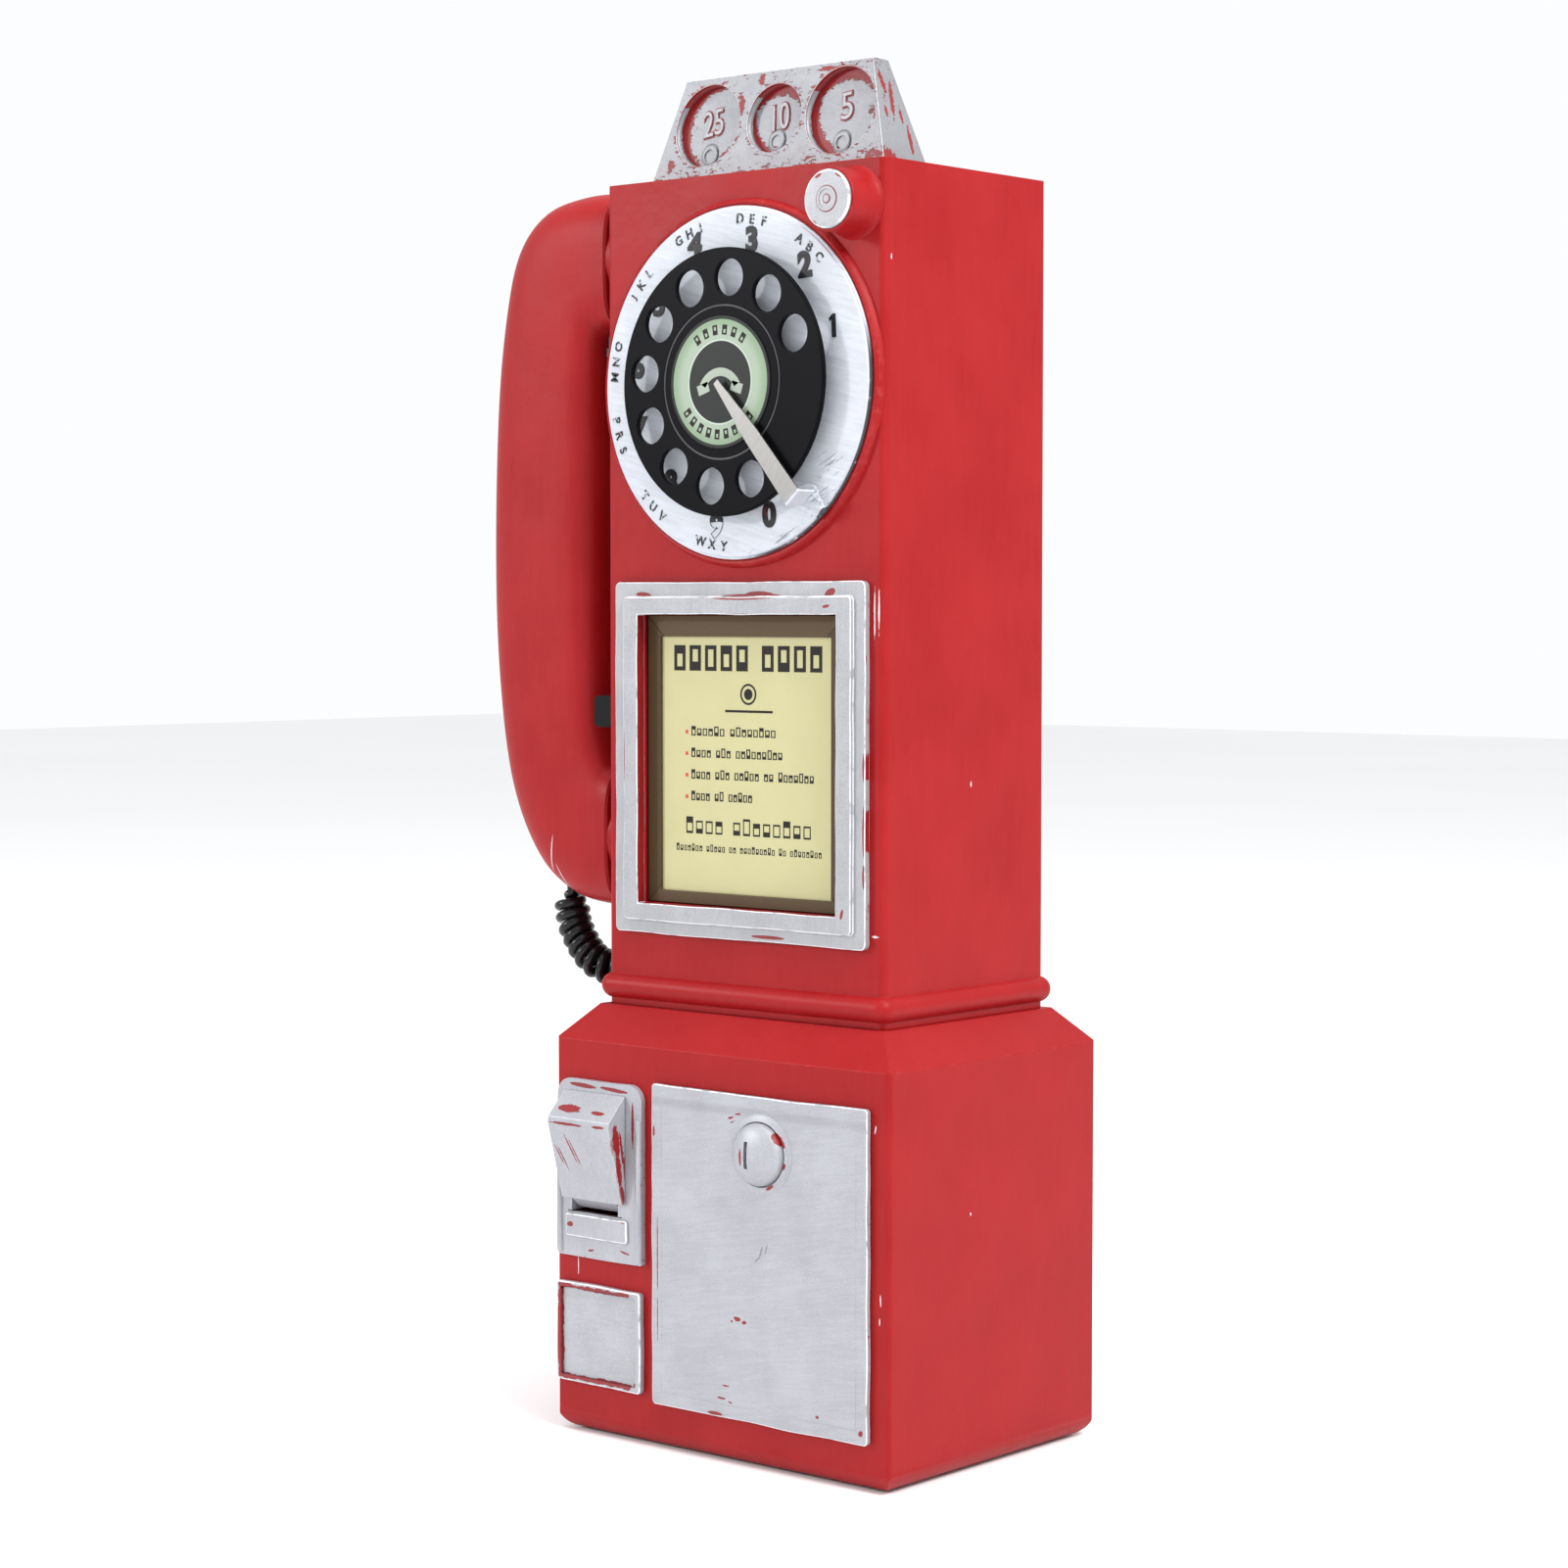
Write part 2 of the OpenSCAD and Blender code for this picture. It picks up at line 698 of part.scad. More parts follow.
module lock_cylinder() {
  color("gainsboro") difference() {
    union() {
      translate([lock_x, 0, lock_z]) rotate([90, 0, 0]) rotate_extrude()
        polygon(concat([[0, -door_front + gap], [10.5, -door_front + gap], [10.5, -door_front + 1.6]],
                       [for (a = [15:15:90]) [10.5 * cos(a), -door_front + 1.6 + 4.4 * sin(a)]]));
      rod_y(lock_r, door_front - 1, -47.6, lock_x, lock_z);
    }
    block([lock_x - 2.9, door_front - 8, lock_z - 4.6], [lock_x - 1.2, door_front, lock_z + 4.6]);
  }
}

module lock_cam() {
  color("goldenrod") difference() {
    front_plate(lock_x - 5, lock_x + 5, lock_z - 13, lock_z + 10, -47.6, -45.6, 4);
    rod_y(1.6, -48, -45, lock_x, lock_z);
  }
  color("goldenrod") rod_y(1.6, -47.6, -44.6, lock_x, lock_z);
}

module bolt_left() {
  color("silver")
    block([door_left + plug_margin + 0.6, bolt_front, lock_z - 4], [lock_x - 11, bolt_back, lock_z + 4]);
}

module bolt_right() {
  color("silver")
    block([lock_x + 11, bolt_front, lock_z - 4], [door_right - plug_margin - 0.6, bolt_back, lock_z + 4]);
}

module bolt_guides() {
  color("dimgray") for (x = [-10, 50]) difference() {
    block([x - 4, plug_back, lock_z - 7], [x + 4, bolt_back + 1.6, lock_z + 7]);
    block([x - 5, bolt_front - gap - 1, lock_z - 4 - gap], [x + 5, bolt_back + gap, lock_z + 4 + gap]);
  }
}

module vault_liner() {
  color("dimgray") difference() {
    block([-28, -39, wall], [base_half - bottom_r - 1, 37, 128]);
    block([-26.5, -40, wall + 1.5], [base_half - bottom_r - 2.5, 35.5, 126.5]);
    block([10, -30, 125], [50, 10, 130]);
  }
}

module cash_box() {
  color("lightsteelblue") difference() {
    block([-22, -35, wall + 1.5], [62, 34, 90]);
    block([-20.5, -33.5, wall + 3], [60.5, 32.5, 91]);
  }
  color("lightsteelblue") {
    block([5, -41, 50], [8, -35, 56]);
    block([32, -41, 50], [35, -35, 56]);
    block([5, -42.5, 50], [35, -41, 56]);
  }
}

// ---- Coin return ----

module return_escutcheon() {
  top_r = 6;
  rim = 1.2;
  color("silver") difference() {
    union() {
      upright(return_front, base_front) {
        round_rect([return_left, return_low], [return_right, return_high - top_r], 1);
        round_rect([return_left, return_high - 2 * top_r - 4], [return_right, return_high], top_r);
      }
      translate([return_right - rim, return_front, return_low + rim]) cylinder(r = rim, h = 49);
      translate([return_left + rim, return_front, return_low + rim]) cylinder(r = rim, h = 49);
    }
    block([scoop_left + 1.5, return_front - 2, scoop_z - 3],
          [scoop_right - 1.5, base_front + 1, scoop_z + 36]);
  }
  // Hinge ears behind the plate
  color("silver") for (x = [scoop_left + 1.5, scoop_right - 3.5]) difference() {
    block([x, return_front, scoop_z - 2.6], [x + 2, base_front + 6, scoop_z + 2.6]);
    rod_x(1.2, x - 1, x + 3, scoop_y + 2.6, scoop_z);
  }
}

module scoop_pin() {
  color("gray") rod_x(1.2, scoop_left + 1.5, scoop_right - 1.5, scoop_y + 2.6, scoop_z);
}

// Sloping hood outside the plate, with a coin pocket that turns out with it
module return_scoop() {
  hood_back = return_front - gap;
  pocket_left = scoop_left + 4;
  pocket_right = scoop_right - 4;
  sheet = 1.2;
  pin_y = scoop_y + 2.6;
  color("silver") difference() {
    union() {
      // Hood
      rotate([0, 0, 90]) upright(-scoop_right, -scoop_left)
        polygon([[hood_back, scoop_z + 2], [hood_back - 1.2, scoop_z + 2],
                 [hood_back - scoop_lip + 2, scoop_z + 29], [hood_back - scoop_lip + 2.3, scoop_z + 31],
                 [hood_back, scoop_z + 39.5]]);
      // Pocket behind the hood
      rotate([0, 0, 90]) upright(-pocket_right, -pocket_left)
        polygon(concat([[hood_back - 1, scoop_z + 2.5], [pin_y - 1.6, scoop_z - 1.6],
                        [pin_y + 1.6, scoop_z - 1.6], [pin_y + 2.3, scoop_z]],
                       [for (a = [45:9:90])
                         [pin_y + scoop_reach * cos(a), scoop_z + scoop_reach * sin(a)]],
                       [[hood_back - 1, scoop_z + scoop_reach - 1]]));
    }
    // Hollow of the pocket, open at the top
    rotate([0, 0, 90]) upright(-pocket_right + sheet, -pocket_left - sheet)
      polygon([[hood_back - 1.2, scoop_z + 4], [pin_y + 2, scoop_z + 4],
               [pin_y + (scoop_reach + 4) * cos(48), scoop_z + (scoop_reach + 4) * sin(48)],
               [pin_y, scoop_z + scoop_reach + 6], [hood_back - 1.2, scoop_z + scoop_reach - 1]]);
    rod_x(1.2 + run, scoop_left - 1, scoop_right + 1, pin_y, scoop_z);
  }
}

module return_sill() {
  color("silver")
    front_plate(scoop_left + 1.2, scoop_right + 1.2, 69.4, 77.4, return_front - 1, return_front, 1);
}

module lower_cover() {
  low = [-72.8, 18];
  high = [-33, 53.2];
  color("silver") difference() {
    front_plate(low[0], high[0], low[1], high[1], base_front - 2.5, base_front, 1.5);
    front_plate(low[0] + 2, high[0] - 2, low[1] + 2, high[1] - 2, base_front - 3, base_front - 1.4, 1);
  }
}

// ---- Coin path ----

module chute_lanes(z0, z1) {
  sheet = 1;
  lanes = [-chute_half, -13.5, 15.5, chute_half - 1.5];
  block([-chute_half, -4, z0], [chute_half, -4 + sheet, z1]);
  block([-chute_half, 4 - sheet, z0], [chute_half, 4, z1]);
  for (x = lanes) block([x, -4, z0], [x + 1.5, 4, z1]);
}

module coin_chute() {
  chute_y = -8;
  tilt = 27.6;
  color("lightsteelblue") {
    translate([0, chute_y, 0]) chute_lanes(chute_low, chute_bend);
    translate([0, chute_y, chute_bend - 1]) rotate([tilt, 0, 0]) chute_lanes(0, 27);
    // Arms to the back panel
    for (x = [-30, 30]) for (z = [316, 352]) block([x - 2, chute_y + 4, z], [x + 2, panel_front, z + 5]);
  }
}

// Side outline of the coin trap's funnel
function funnel(t) = [[-47.5 + t, chute_low + t], [47.5 - t, chute_low + t], [12 - t, 258],
                      [12 - t, 230 - t], [-12 + t, 230 - t], [-12 + t, 258]];

module coin_trap() {
  y0 = -13;
  y1 = -3;
  color("lightsteelblue") {
    difference() {
      upright(y0, y1) polygon(funnel(0));
      upright(y0 - 1, y1 + 1) polygon(funnel(1.5));
    }
    for (y = [y0 - 1, y1]) difference() {
      upright(y, y + 1) {
        polygon(funnel(0));
        translate([-7, vane_z - 5]) square([14, 26]);
      }
      rod_y(1.5 + run, y - 1, y + 2, 0, vane_z);
    }
    block([-9, y1 + 1, 236], [9, panel_front, 240]);
  }
}

module coin_vane() {
  color("goldenrod") {
    rod_y(1.5, -16, 1, 0, vane_z);
    difference() {
      block([-0.8, -12.6, vane_z], [0.8, -3.4, vane_z + 18]);
      rod_y(1.5, -13, -3, 0, vane_z);
    }
    // Crank that the relay pushes
    difference() {
      block([-2.5, 1, vane_z - 9], [2.5, 2.5, vane_z + 3]);
      rod_y(0.8, 0, 3, 0, vane_z - 7);
    }
  }
}

module coin_relay() {
  color("peru") translate([0, 20, 192]) cylinder(r = 10, h = 30);
  color("dimgray") difference() {
    block([-12, 8, 189], [12, panel_front, 225]);
    block([-13, 7, 192], [13, 32, 222]);
  }
}

// Sloping strips that lead to the coin return and to the cash box
module lower_chutes() {
  color("lightsteelblue") {
    upright(-36, 4) polygon([[-5, 200], [-5, 198.4], [-44, 140], [-45.4, 140]]);
    for (y = [-37, 4]) upright(y, y + 1) polygon([[-5, 208], [-5, 198.4], [-44, 140], [-49, 146]]);
    upright(-36, 4) polygon([[5, 200], [5, 198.4], [25, 140], [26.4, 140]]);
    for (y = [-37, 4]) upright(y, y + 1) polygon([[5, 208], [5, 198.4], [25, 140], [30, 146]]);
    for (p = [[-24, 178], [-34, 160], [16, 170]]) block([p[0], 5, p[1]], [p[0] + 5, panel_front, p[1] + 3]);
  }
}

module coin_gong() {
  color("gold") translate([34, 14, 268]) rotate([90, 0, 0]) difference() {
    cylinder(r = 14, h = 7);
    translate([0, 0, -1]) cylinder(r = 12.6, h = 6.6);
    translate([0, 0, -1]) cylinder(r = 2, h = 10);
  }
  color("gray") rod_y(2, 5, panel_front, 34, 268);
}

// ---- Ringer and network ----

module bell_gongs() {
  for (s = [-1, 1]) {
    color("gold") translate([s * bell_x, 26, bell_z]) rotate([90, 0, 0]) difference() {
      union() {
        cylinder(r = bell_r, h = 8);
        translate([0, 0, 7]) cylinder(r1 = bell_r, r2 = 9, h = 4);
      }
      translate([0, 0, -1]) cylinder(r = bell_r - 1.4, h = 8.6);
      translate([0, 0, -1]) cylinder(r = 2.5, h = 14);
    }
    color("gray") rod_y(2.5, 14, panel_front, s * bell_x, bell_z);
  }
}

module bell_clapper() {
  color("gray") {
    difference() {
      block([-0.9, 20, 372], [0.9, 23, bell_z - 1]);
      rod_y(1.5 + run, 19, 24, 0, 372);
    }
    difference() {
      block([-9, 20, 368.2], [9, 23, 375.8]);
      rod_y(1.5 + run, 19, 24, 0, 372);
    }
    translate([0, 21.5, bell_z]) sphere(2.8);
  }
}

module ringer_coils() {
  color("peru") for (s = [-1, 1]) translate([s * 13, 25, 349]) cylinder(r = 7.5, h = 16);
  color("dimgray") {
    difference() {
      block([-22, 15, 345], [22, panel_front, 349]);
      block([-26, 14, 340], [26, 36, 344]);
    }
    rod_y(1.5, 17, panel_front, 0, 372);
    for (s = [-1, 1]) translate([s * 13, 25, 365]) cylinder(r = 2.5, h = 2.2);
  }
}

module network_box() {
  color("darkslategray") {
    block([-40, 4, 281], [-2, panel_front, 309]);
    for (i = [0:4]) translate([-34 + i * 7, 10, 309]) cylinder(r = 2, h = 4);
    for (i = [0:4]) translate([-34 + i * 7, 24, 309]) cylinder(r = 2, h = 4);
  }
}

// ---- Handset ----

function shaped(v, squareness) = sign(v) * pow(abs(v), 2 / squareness);
function handset_ring(outer, inner) =
  let (mid = (outer + inner) / 2, half = (outer - inner) / 2)
  [for (k = [0:handset_sides - 1])
    let (a = k * 360 / handset_sides,
         squareness = cos(a) > 0 ? handset_round : handset_grip_round,
         p = mid + half * shaped(cos(a), squareness))
    [p[0], handset_y + handset_d / 2 * shaped(sin(a), squareness), p[1]]];

module handset_body() {
  rings = [for (j = [0:handset_count])
    let (i = min(floor(j / handset_steps), len(handset_outer) - 2), u = j / handset_steps - i)
    each handset_ring(smooth(handset_outer, i, u), smooth(handset_inner, i, u))];
  polyhedron(points = rings, faces = tube_faces(handset_count + 1, handset_sides));
}

module handset_handle() {
  color("firebrick") difference() {
    handset_body();
    rod_x(15.2, cup_face_x - 11, cup_face_x + 1, handset_y, ear_z);
    rod_x(15.2, cup_face_x - 11, cup_face_x + 1, handset_y, mouth_z);
  }
}

module handset_cap(z) {
  difference() {
    union() {
      rod_x(18.4, cup_face_x, cup_face_x + 2.4, handset_y, z);
      rod_x(17, cup_face_x + 2.4, cup_face_x + 3.4, handset_y, z);
    }
    rod_x(1.3, cup_face_x - 1, cup_face_x + 5, handset_y, z);
    // Two rings of sound holes
    for (n = [6, 12]) for (i = [0:n - 1])
      rod_x(1.3, cup_face_x - 1, cup_face_x + 5,
            handset_y + n * 0.85 * cos(i * 360 / n), z + n * 0.85 * sin(i * 360 / n));
  }
}

module ear_cap() {
  color("firebrick") handset_cap(ear_z);
}

module mouth_cap() {
  color("firebrick") handset_cap(mouth_z);
}

module receiver_capsule() {
  color("gray") rod_x(15, cup_face_x - 10.5, cup_face_x - 0.5, handset_y, ear_z);
}

module transmitter_capsule() {
  color("gray") rod_x(15, cup_face_x - 10.5, cup_face_x - 0.5, handset_y, mouth_z);
}

module handset_cord() {
  steps = 2;
  p = [for (j = [0:(len(cord_route) - 1) * steps])
    let (i = min(floor(j / steps), len(cord_route) - 2), u = j / steps - i) smooth(cord_route, i, u)];
  color("black") sweep(p, curl_d / 2, 12, [1, -1, 0.5]);
}

module cord_grommet() {
  color("black") difference() {
    union() {
      rod_x(4.9, -column_half - 1, -column_half + wall + 1.5, grommet_y, grommet_z);
      rod_x(7.5, -column_half - 2, -column_half, grommet_y, grommet_z);
      rod_x(7, -column_half + wall, -column_half + wall + 1.5, grommet_y, grommet_z);
    }
    rod_x(2, -column_half - 5, -column_half + wall + 3, grommet_y, grommet_z);
  }
}

// ---- Hook ----

module hook_lever() {
  color("dimgray") difference() {
    union() {
      block([-74.5, handset_y - 11, hook_z - 1.5], [hook_x + 3, handset_y + 11, hook_z + 1.5]);
      rod_y(3.5, handset_y - 11, handset_y + 11, hook_x, hook_z);
      for (y = [-11, 6]) block([-73.5, handset_y + y, hook_z + 1], [-69, handset_y + y + 5, hook_z + 5.6]);
    }
    rod_y(2 + run, handset_y - 15, handset_y + 15, hook_x, hook_z);
  }
}

module hook_switch() {
  inside_left = -column_half + wall;
  color("gray") rod_y(2, handset_y - 15, handset_y + 15, hook_x, hook_z);
  color("dimgray") {
    for (y = [-15, 13]) difference() {
      block([inside_left, handset_y + y, hook_z - 6], [hook_x + 3.5, handset_y + y + 2, hook_z + 6]);
      rod_y(2, handset_y - 18, handset_y + 18, hook_x, hook_z);
    }
  }
  color("saddlebrown")
    block([inside_left, handset_y - 15, hook_z - 22], [hook_x + 2, handset_y - 5, hook_z - 12]);
  color("silver") for (i = [0:2])
    block([hook_x - 3 + i * 1.6, handset_y - 12, hook_z - 12],
          [hook_x - 2.6 + i * 1.6, handset_y - 8, hook_z - 5]);
}

module handset_bumper() {
  color("black") front_plate(-column_half - 9, -column_half, 246.5, 257.5, front + 2.5, front + 9, 2);
}

base_housing();
base_pan();
housing_screws();
column_housing();
back_panel();
wall_bracket();
coin_head();
button_collar();
push_button();
button_spring();
dial_collar();
number_plate();
finger_wheel();
dial_card();
finger_stop();
dial_shaft();
dial_frame();
main_gear();
governor_pinion();
governor_cup();
mainspring();
pulse_contacts();
card_frame();
card_bezel();
notice_card();
card_tray();
vault_door();
lock_collar();
lock_cylinder();
lock_cam();
bolt_left();
bolt_right();
bolt_guides();
vault_liner();
cash_box();
return_escutcheon();
return_scoop();
scoop_pin();
return_sill();
lower_cover();
coin_chute();
coin_trap();
coin_vane();
coin_relay();
lower_chutes();
coin_gong();
bell_gongs();
bell_clapper();
ringer_coils();
network_box();
handset_handle();
ear_cap();
mouth_cap();
receiver_capsule();
transmitter_capsule();
handset_cord();
hook_lever();
hook_switch();
cord_grommet();
handset_bumper();
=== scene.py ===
"""Looks of a wall-mounted three-slot payphone: brushed red and silver paint, dial, card and curly cord."""
import json
import math

import bmesh
import bpy
from mathutils import Matrix, Vector, noise
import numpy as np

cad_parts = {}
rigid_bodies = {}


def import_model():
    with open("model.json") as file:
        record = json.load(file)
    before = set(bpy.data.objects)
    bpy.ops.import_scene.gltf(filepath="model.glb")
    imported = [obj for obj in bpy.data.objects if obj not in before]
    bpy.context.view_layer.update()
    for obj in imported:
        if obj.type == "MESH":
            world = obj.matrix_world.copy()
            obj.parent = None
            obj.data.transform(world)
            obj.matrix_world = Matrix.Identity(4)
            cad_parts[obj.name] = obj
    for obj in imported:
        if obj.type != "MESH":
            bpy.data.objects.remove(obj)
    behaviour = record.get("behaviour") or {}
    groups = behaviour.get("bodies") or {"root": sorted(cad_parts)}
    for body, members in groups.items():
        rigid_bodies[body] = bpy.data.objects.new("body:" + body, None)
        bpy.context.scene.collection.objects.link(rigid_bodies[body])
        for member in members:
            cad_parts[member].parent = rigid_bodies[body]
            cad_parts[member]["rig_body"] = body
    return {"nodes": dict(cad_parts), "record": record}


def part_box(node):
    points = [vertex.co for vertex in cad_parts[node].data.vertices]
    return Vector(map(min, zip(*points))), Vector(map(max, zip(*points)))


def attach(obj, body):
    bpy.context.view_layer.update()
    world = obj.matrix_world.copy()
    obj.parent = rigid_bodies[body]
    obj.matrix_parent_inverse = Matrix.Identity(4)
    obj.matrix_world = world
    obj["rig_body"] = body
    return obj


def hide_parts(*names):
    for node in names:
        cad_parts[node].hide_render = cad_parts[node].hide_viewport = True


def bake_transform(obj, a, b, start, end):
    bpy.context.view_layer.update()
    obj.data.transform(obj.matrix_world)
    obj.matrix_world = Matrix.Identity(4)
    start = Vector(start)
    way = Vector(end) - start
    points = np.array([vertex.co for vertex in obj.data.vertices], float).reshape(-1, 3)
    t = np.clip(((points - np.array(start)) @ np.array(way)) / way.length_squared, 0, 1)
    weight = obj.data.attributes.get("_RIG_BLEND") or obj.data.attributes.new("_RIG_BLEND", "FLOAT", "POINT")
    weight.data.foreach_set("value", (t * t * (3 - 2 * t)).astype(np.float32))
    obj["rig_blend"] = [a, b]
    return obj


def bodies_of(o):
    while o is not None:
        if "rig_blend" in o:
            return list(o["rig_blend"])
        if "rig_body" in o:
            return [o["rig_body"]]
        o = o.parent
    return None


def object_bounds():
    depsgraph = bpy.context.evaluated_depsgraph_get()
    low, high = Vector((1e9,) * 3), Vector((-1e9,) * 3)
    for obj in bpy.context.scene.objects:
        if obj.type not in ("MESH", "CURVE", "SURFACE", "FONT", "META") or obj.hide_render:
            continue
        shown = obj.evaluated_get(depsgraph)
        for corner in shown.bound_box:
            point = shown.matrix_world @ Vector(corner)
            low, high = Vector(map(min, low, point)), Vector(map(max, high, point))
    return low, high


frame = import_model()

noise.seed_set(7)  # Unseeded, noise_vector strays another way in each run

CAD_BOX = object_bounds()
NODES = frame["nodes"]
MM = 0.001
SLOT_OF = {part["node"]: part["material_slot"] for part in frame["record"]["subparts"]}

# Places taken from the frame, in metres
DIAL = (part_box("number_plate")[0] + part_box("number_plate")[1]) / 2
PLATE_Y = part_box("number_plate")[0].y
CARD_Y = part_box("notice_card")[0].y
DIAL_CARD_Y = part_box("dial_card")[0].y
BUTTON = (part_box("push_button")[0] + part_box("push_button")[1]) / 2
BUTTON_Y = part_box("push_button")[0].y
COLUMN_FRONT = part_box("dial_collar")[1].y

# Places on the paint, in millimetres in x and z
DIAL_Z = DIAL.z / MM
CARD_HALF_W = 38.2
CARD_HALF_H = 43.7
CARD_OPENING = ((-44.5, 186.5), (44.5, 286))

# Coin head: lean of its front, height of the recesses, and each recess's x and radius
HEAD_LEAN = math.atan2(7, 36)
HEAD_SIDE_LEAN = 10.5 / 36
HEAD_FOOT_Y = -32
HEAD_FOOT_Z = 434
COIN_Z = 453.5
COIN_DEPTH = 3.2
COIN_RECESS = ((-29, 14.5), (1, 12), (30, 15))
# Crescents of bare red in the recesses: x, radius, shift of the inner circle in x and z, and thickness
COIN_CRESCENTS = ((-29, 14.5, 3.2, -1.0, 1.2), (1, 12, -0.8, -4.6, -0.2), (30, 15, 0.4, -4.2, 0.6),
                  (30, 15, 3.6, 1.6, 0.4), (1, 12, 1.4, 2.2, 0.2))
COIN_HEAD_MARKS = ((-20.5, 443.8, 4.2, 1.5, 25), (-14.5, 459.5, 1.4, 4.0, 10), (-6.5, 467.5, 1.5, 2.2, 0),
                   (22.5, 468.2, 4.5, 0.8, 0), (-44.0, 440.5, 1.5, 2.6, 0), (-49.5, 435.5, 2.0, 1.2, 0),
                   (11.8, 450.2, 1.8, 1.0, 30), (44.8, 436.0, 1.6, 2.6, -15), (44.6, 452.5, 0.6, 3.8, 12),
                   (-37.5, 464.5, 2.0, 1.0, 35), (-12, 435.3, 9, 0.9, 0), (17, 435.6, 6, 0.7, 0),
                   (-33, 435.4, 7, 0.6, 0), (36, 463.5, 4.5, 0.7, -30))
COIN_HEAD_SIDE_MARKS = ((-23.2, 462, 1.2, 4.0, 10), (-20.2, 456, 1.0, 6.5, -10), (-15.0, 443, 0.9, 5.0, 0),
                        (-17.0, 451, 0.7, 2.8, 0), (-27.5, 436, 4.6, 2.4, -30), (-24.5, 452, 0.7, 2.2, 0))
FRAME_MARKS = ((-42.4, 292.6, 3.6, 1.0, -5), (5.0, 291.9, 15.5, 1.0, 1), (10.0, 292.5, 6.5, 1.2, 0),
               (41.1, 293.2, 2.4, 1.3, 25), (40.5, 288.7, 1.6, 0.5, 10), (-50.7, 237.5, 0.45, 11, 0),
               (-51.2, 226, 0.3, 4, 0), (14, 177.8, 8.0, 0.6, 0), (47.3, 187.4, 0.6, 1.8, -15),
               (55.6, 215, 0.7, 9, 0), (55.6, 236, 0.7, 5, 0), (55.4, 200, 0.5, 4, 0))
DOOR_MARKS = ((8.6, 117.9, 1.2, 0.35, 15), (11.8, 119.4, 1.3, 0.3, 8), (9.4, 116.6, 0.9, 0.22, 25),
              (11.4, 50.4, 1.6, 0.8, -8), (14.6, 49.6, 1.0, 0.6, 10), (9.0, 49.3, 0.5, 0.4, 0),
              (4.3, 22.6, 1.8, 0.4, 0), (8.4, 21.6, 1.0, 0.3, -10),
              (6.3, 27.0, 1.6, 0.3, 0), (1.5, 17.0, 3.2, 0.6, 0), (65.0, 19.8, 1.1, 1.0, 30),
              (-24.8, 68, 0.25, 14, 0), (-24.8, 46, 0.2, 8, 0), (46.5, 22.5, 0.7, 0.5, 0),
              (-26.4, 110, 0.5, 2.0, 0))
DOOR_SCRATCHES = ((22.0, 74.0, 0.4, 2.6, -18), (24.4, 75.5, 0.3, 2.0, -18), (20.3, 71.5, 1.6, 0.3, 40))
ESCUTCHEON_MARKS = ((-60.5, 122.6, 6.5, 0.8, -3), (-45.5, 122.2, 7.0, 0.7, -4), (-36.6, 111, 0.6, 8, 0),
                    (-56.5, 65.2, 1.6, 0.4, 10), (-40.4, 66.2, 2.2, 0.35, -10), (-35.0, 92, 0.5, 16, 0))
HOOD_MARKS = ((-61.5, 115.0, 5.5, 1.2, 0), (-47.5, 114.6, 3.0, 0.6, 0), (-60.0, 110.0, 7.5, 0.5, 0),
              (-44.8, 110.2, 3.0, 0.5, 0), (-60.2, 101.5, 0.35, 5.5, 22), (-58.4, 100.0, 0.3, 5.0, 22),
              (-64.6, 97.5, 0.3, 4.5, 22), (-66.2, 98.5, 0.25, 4.0, 22))
HOOD_SIDE_MARKS = ((-63.5, 105, 1.6, 6.0, 8), (-62.2, 95, 1.3, 6.5, 8), (-60.8, 86.5, 1.2, 4.0, 8),
                   (-65.8, 101, 0.7, 5.0, 5), (-61.0, 103, 0.6, 6.0, 8), (-67.5, 104, 0.5, 3.5, 5),
                   (-64.5, 91, 0.6, 5.0, 10), (-59.4, 95, 0.5, 6.5, 6))
COVER_MARKS = ((-44.5, 19.9, 4.2, 0.8, -6), (-53, 19.6, 1.5, 0.7, 0), (-71.8, 34, 0.8, 12, 0),
               (-35.5, 46.5, 0.35, 1.6, 0), (-36.2, 20.6, 0.7, 0.7, 0))
FRONT_SMEARS = ((58.0, 286, 0.35, 9, 0), (59.8, 287, 0.3, 7, 0), (-57.8, 240, 0.25, 14, 0),
                (71.4, 64, 0.2, 1.8, 3), (71.0, 57, 0.2, 1.2, 0), (69.2, 119.5, 0.35, 1.4, -12),
                (-64.5, 58.5, 0.25, 3.6, 0), (58.4, 180.5, 1.6, 0.4, 0))
SIDE_SMEARS = ((2.5, 229, 0.25, 0.9, 0), (-14, 87, 0.3, 0.6, 10), (-40.5, 402, 0.3, 1.0, 0))
HANDSET_SCRATCHES = ((-96.0, 200.5, 0.35, 7.5, -14), (-92.8, 192.5, 0.3, 5.0, 20))
PLATE_STREAKS = ((37, 325, 12, 6, 0), (42, 335, 8, 5, 20), (8, 306.5, 9, 1.8, 12), (22, 312, 9, 1.6, 25),
                 (38, 331, 3, 1.6, 0), (-8, 390, 3, 1.2, 0))


def body_of(node):
    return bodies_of(NODES[node])[0]


# ---- Camera ----

CAMERA_PLACE = Vector((0.7681, -0.9161, 0.2879))
CAMERA_AIM = Vector((-0.01876, 0, 0.22647))


def make_camera():
    data = bpy.data.cameras.new("camera")
    data.sensor_width = 36
    data.lens = 79.1
    camera = bpy.data.objects.new("camera", data)
    camera.location = CAMERA_PLACE
    camera.rotation_euler = (CAMERA_AIM - CAMERA_PLACE).to_track_quat("-Z", "Y").to_euler()
    bpy.context.scene.collection.objects.link(camera)
    bpy.context.scene.camera = camera


# ---- Shader building ----

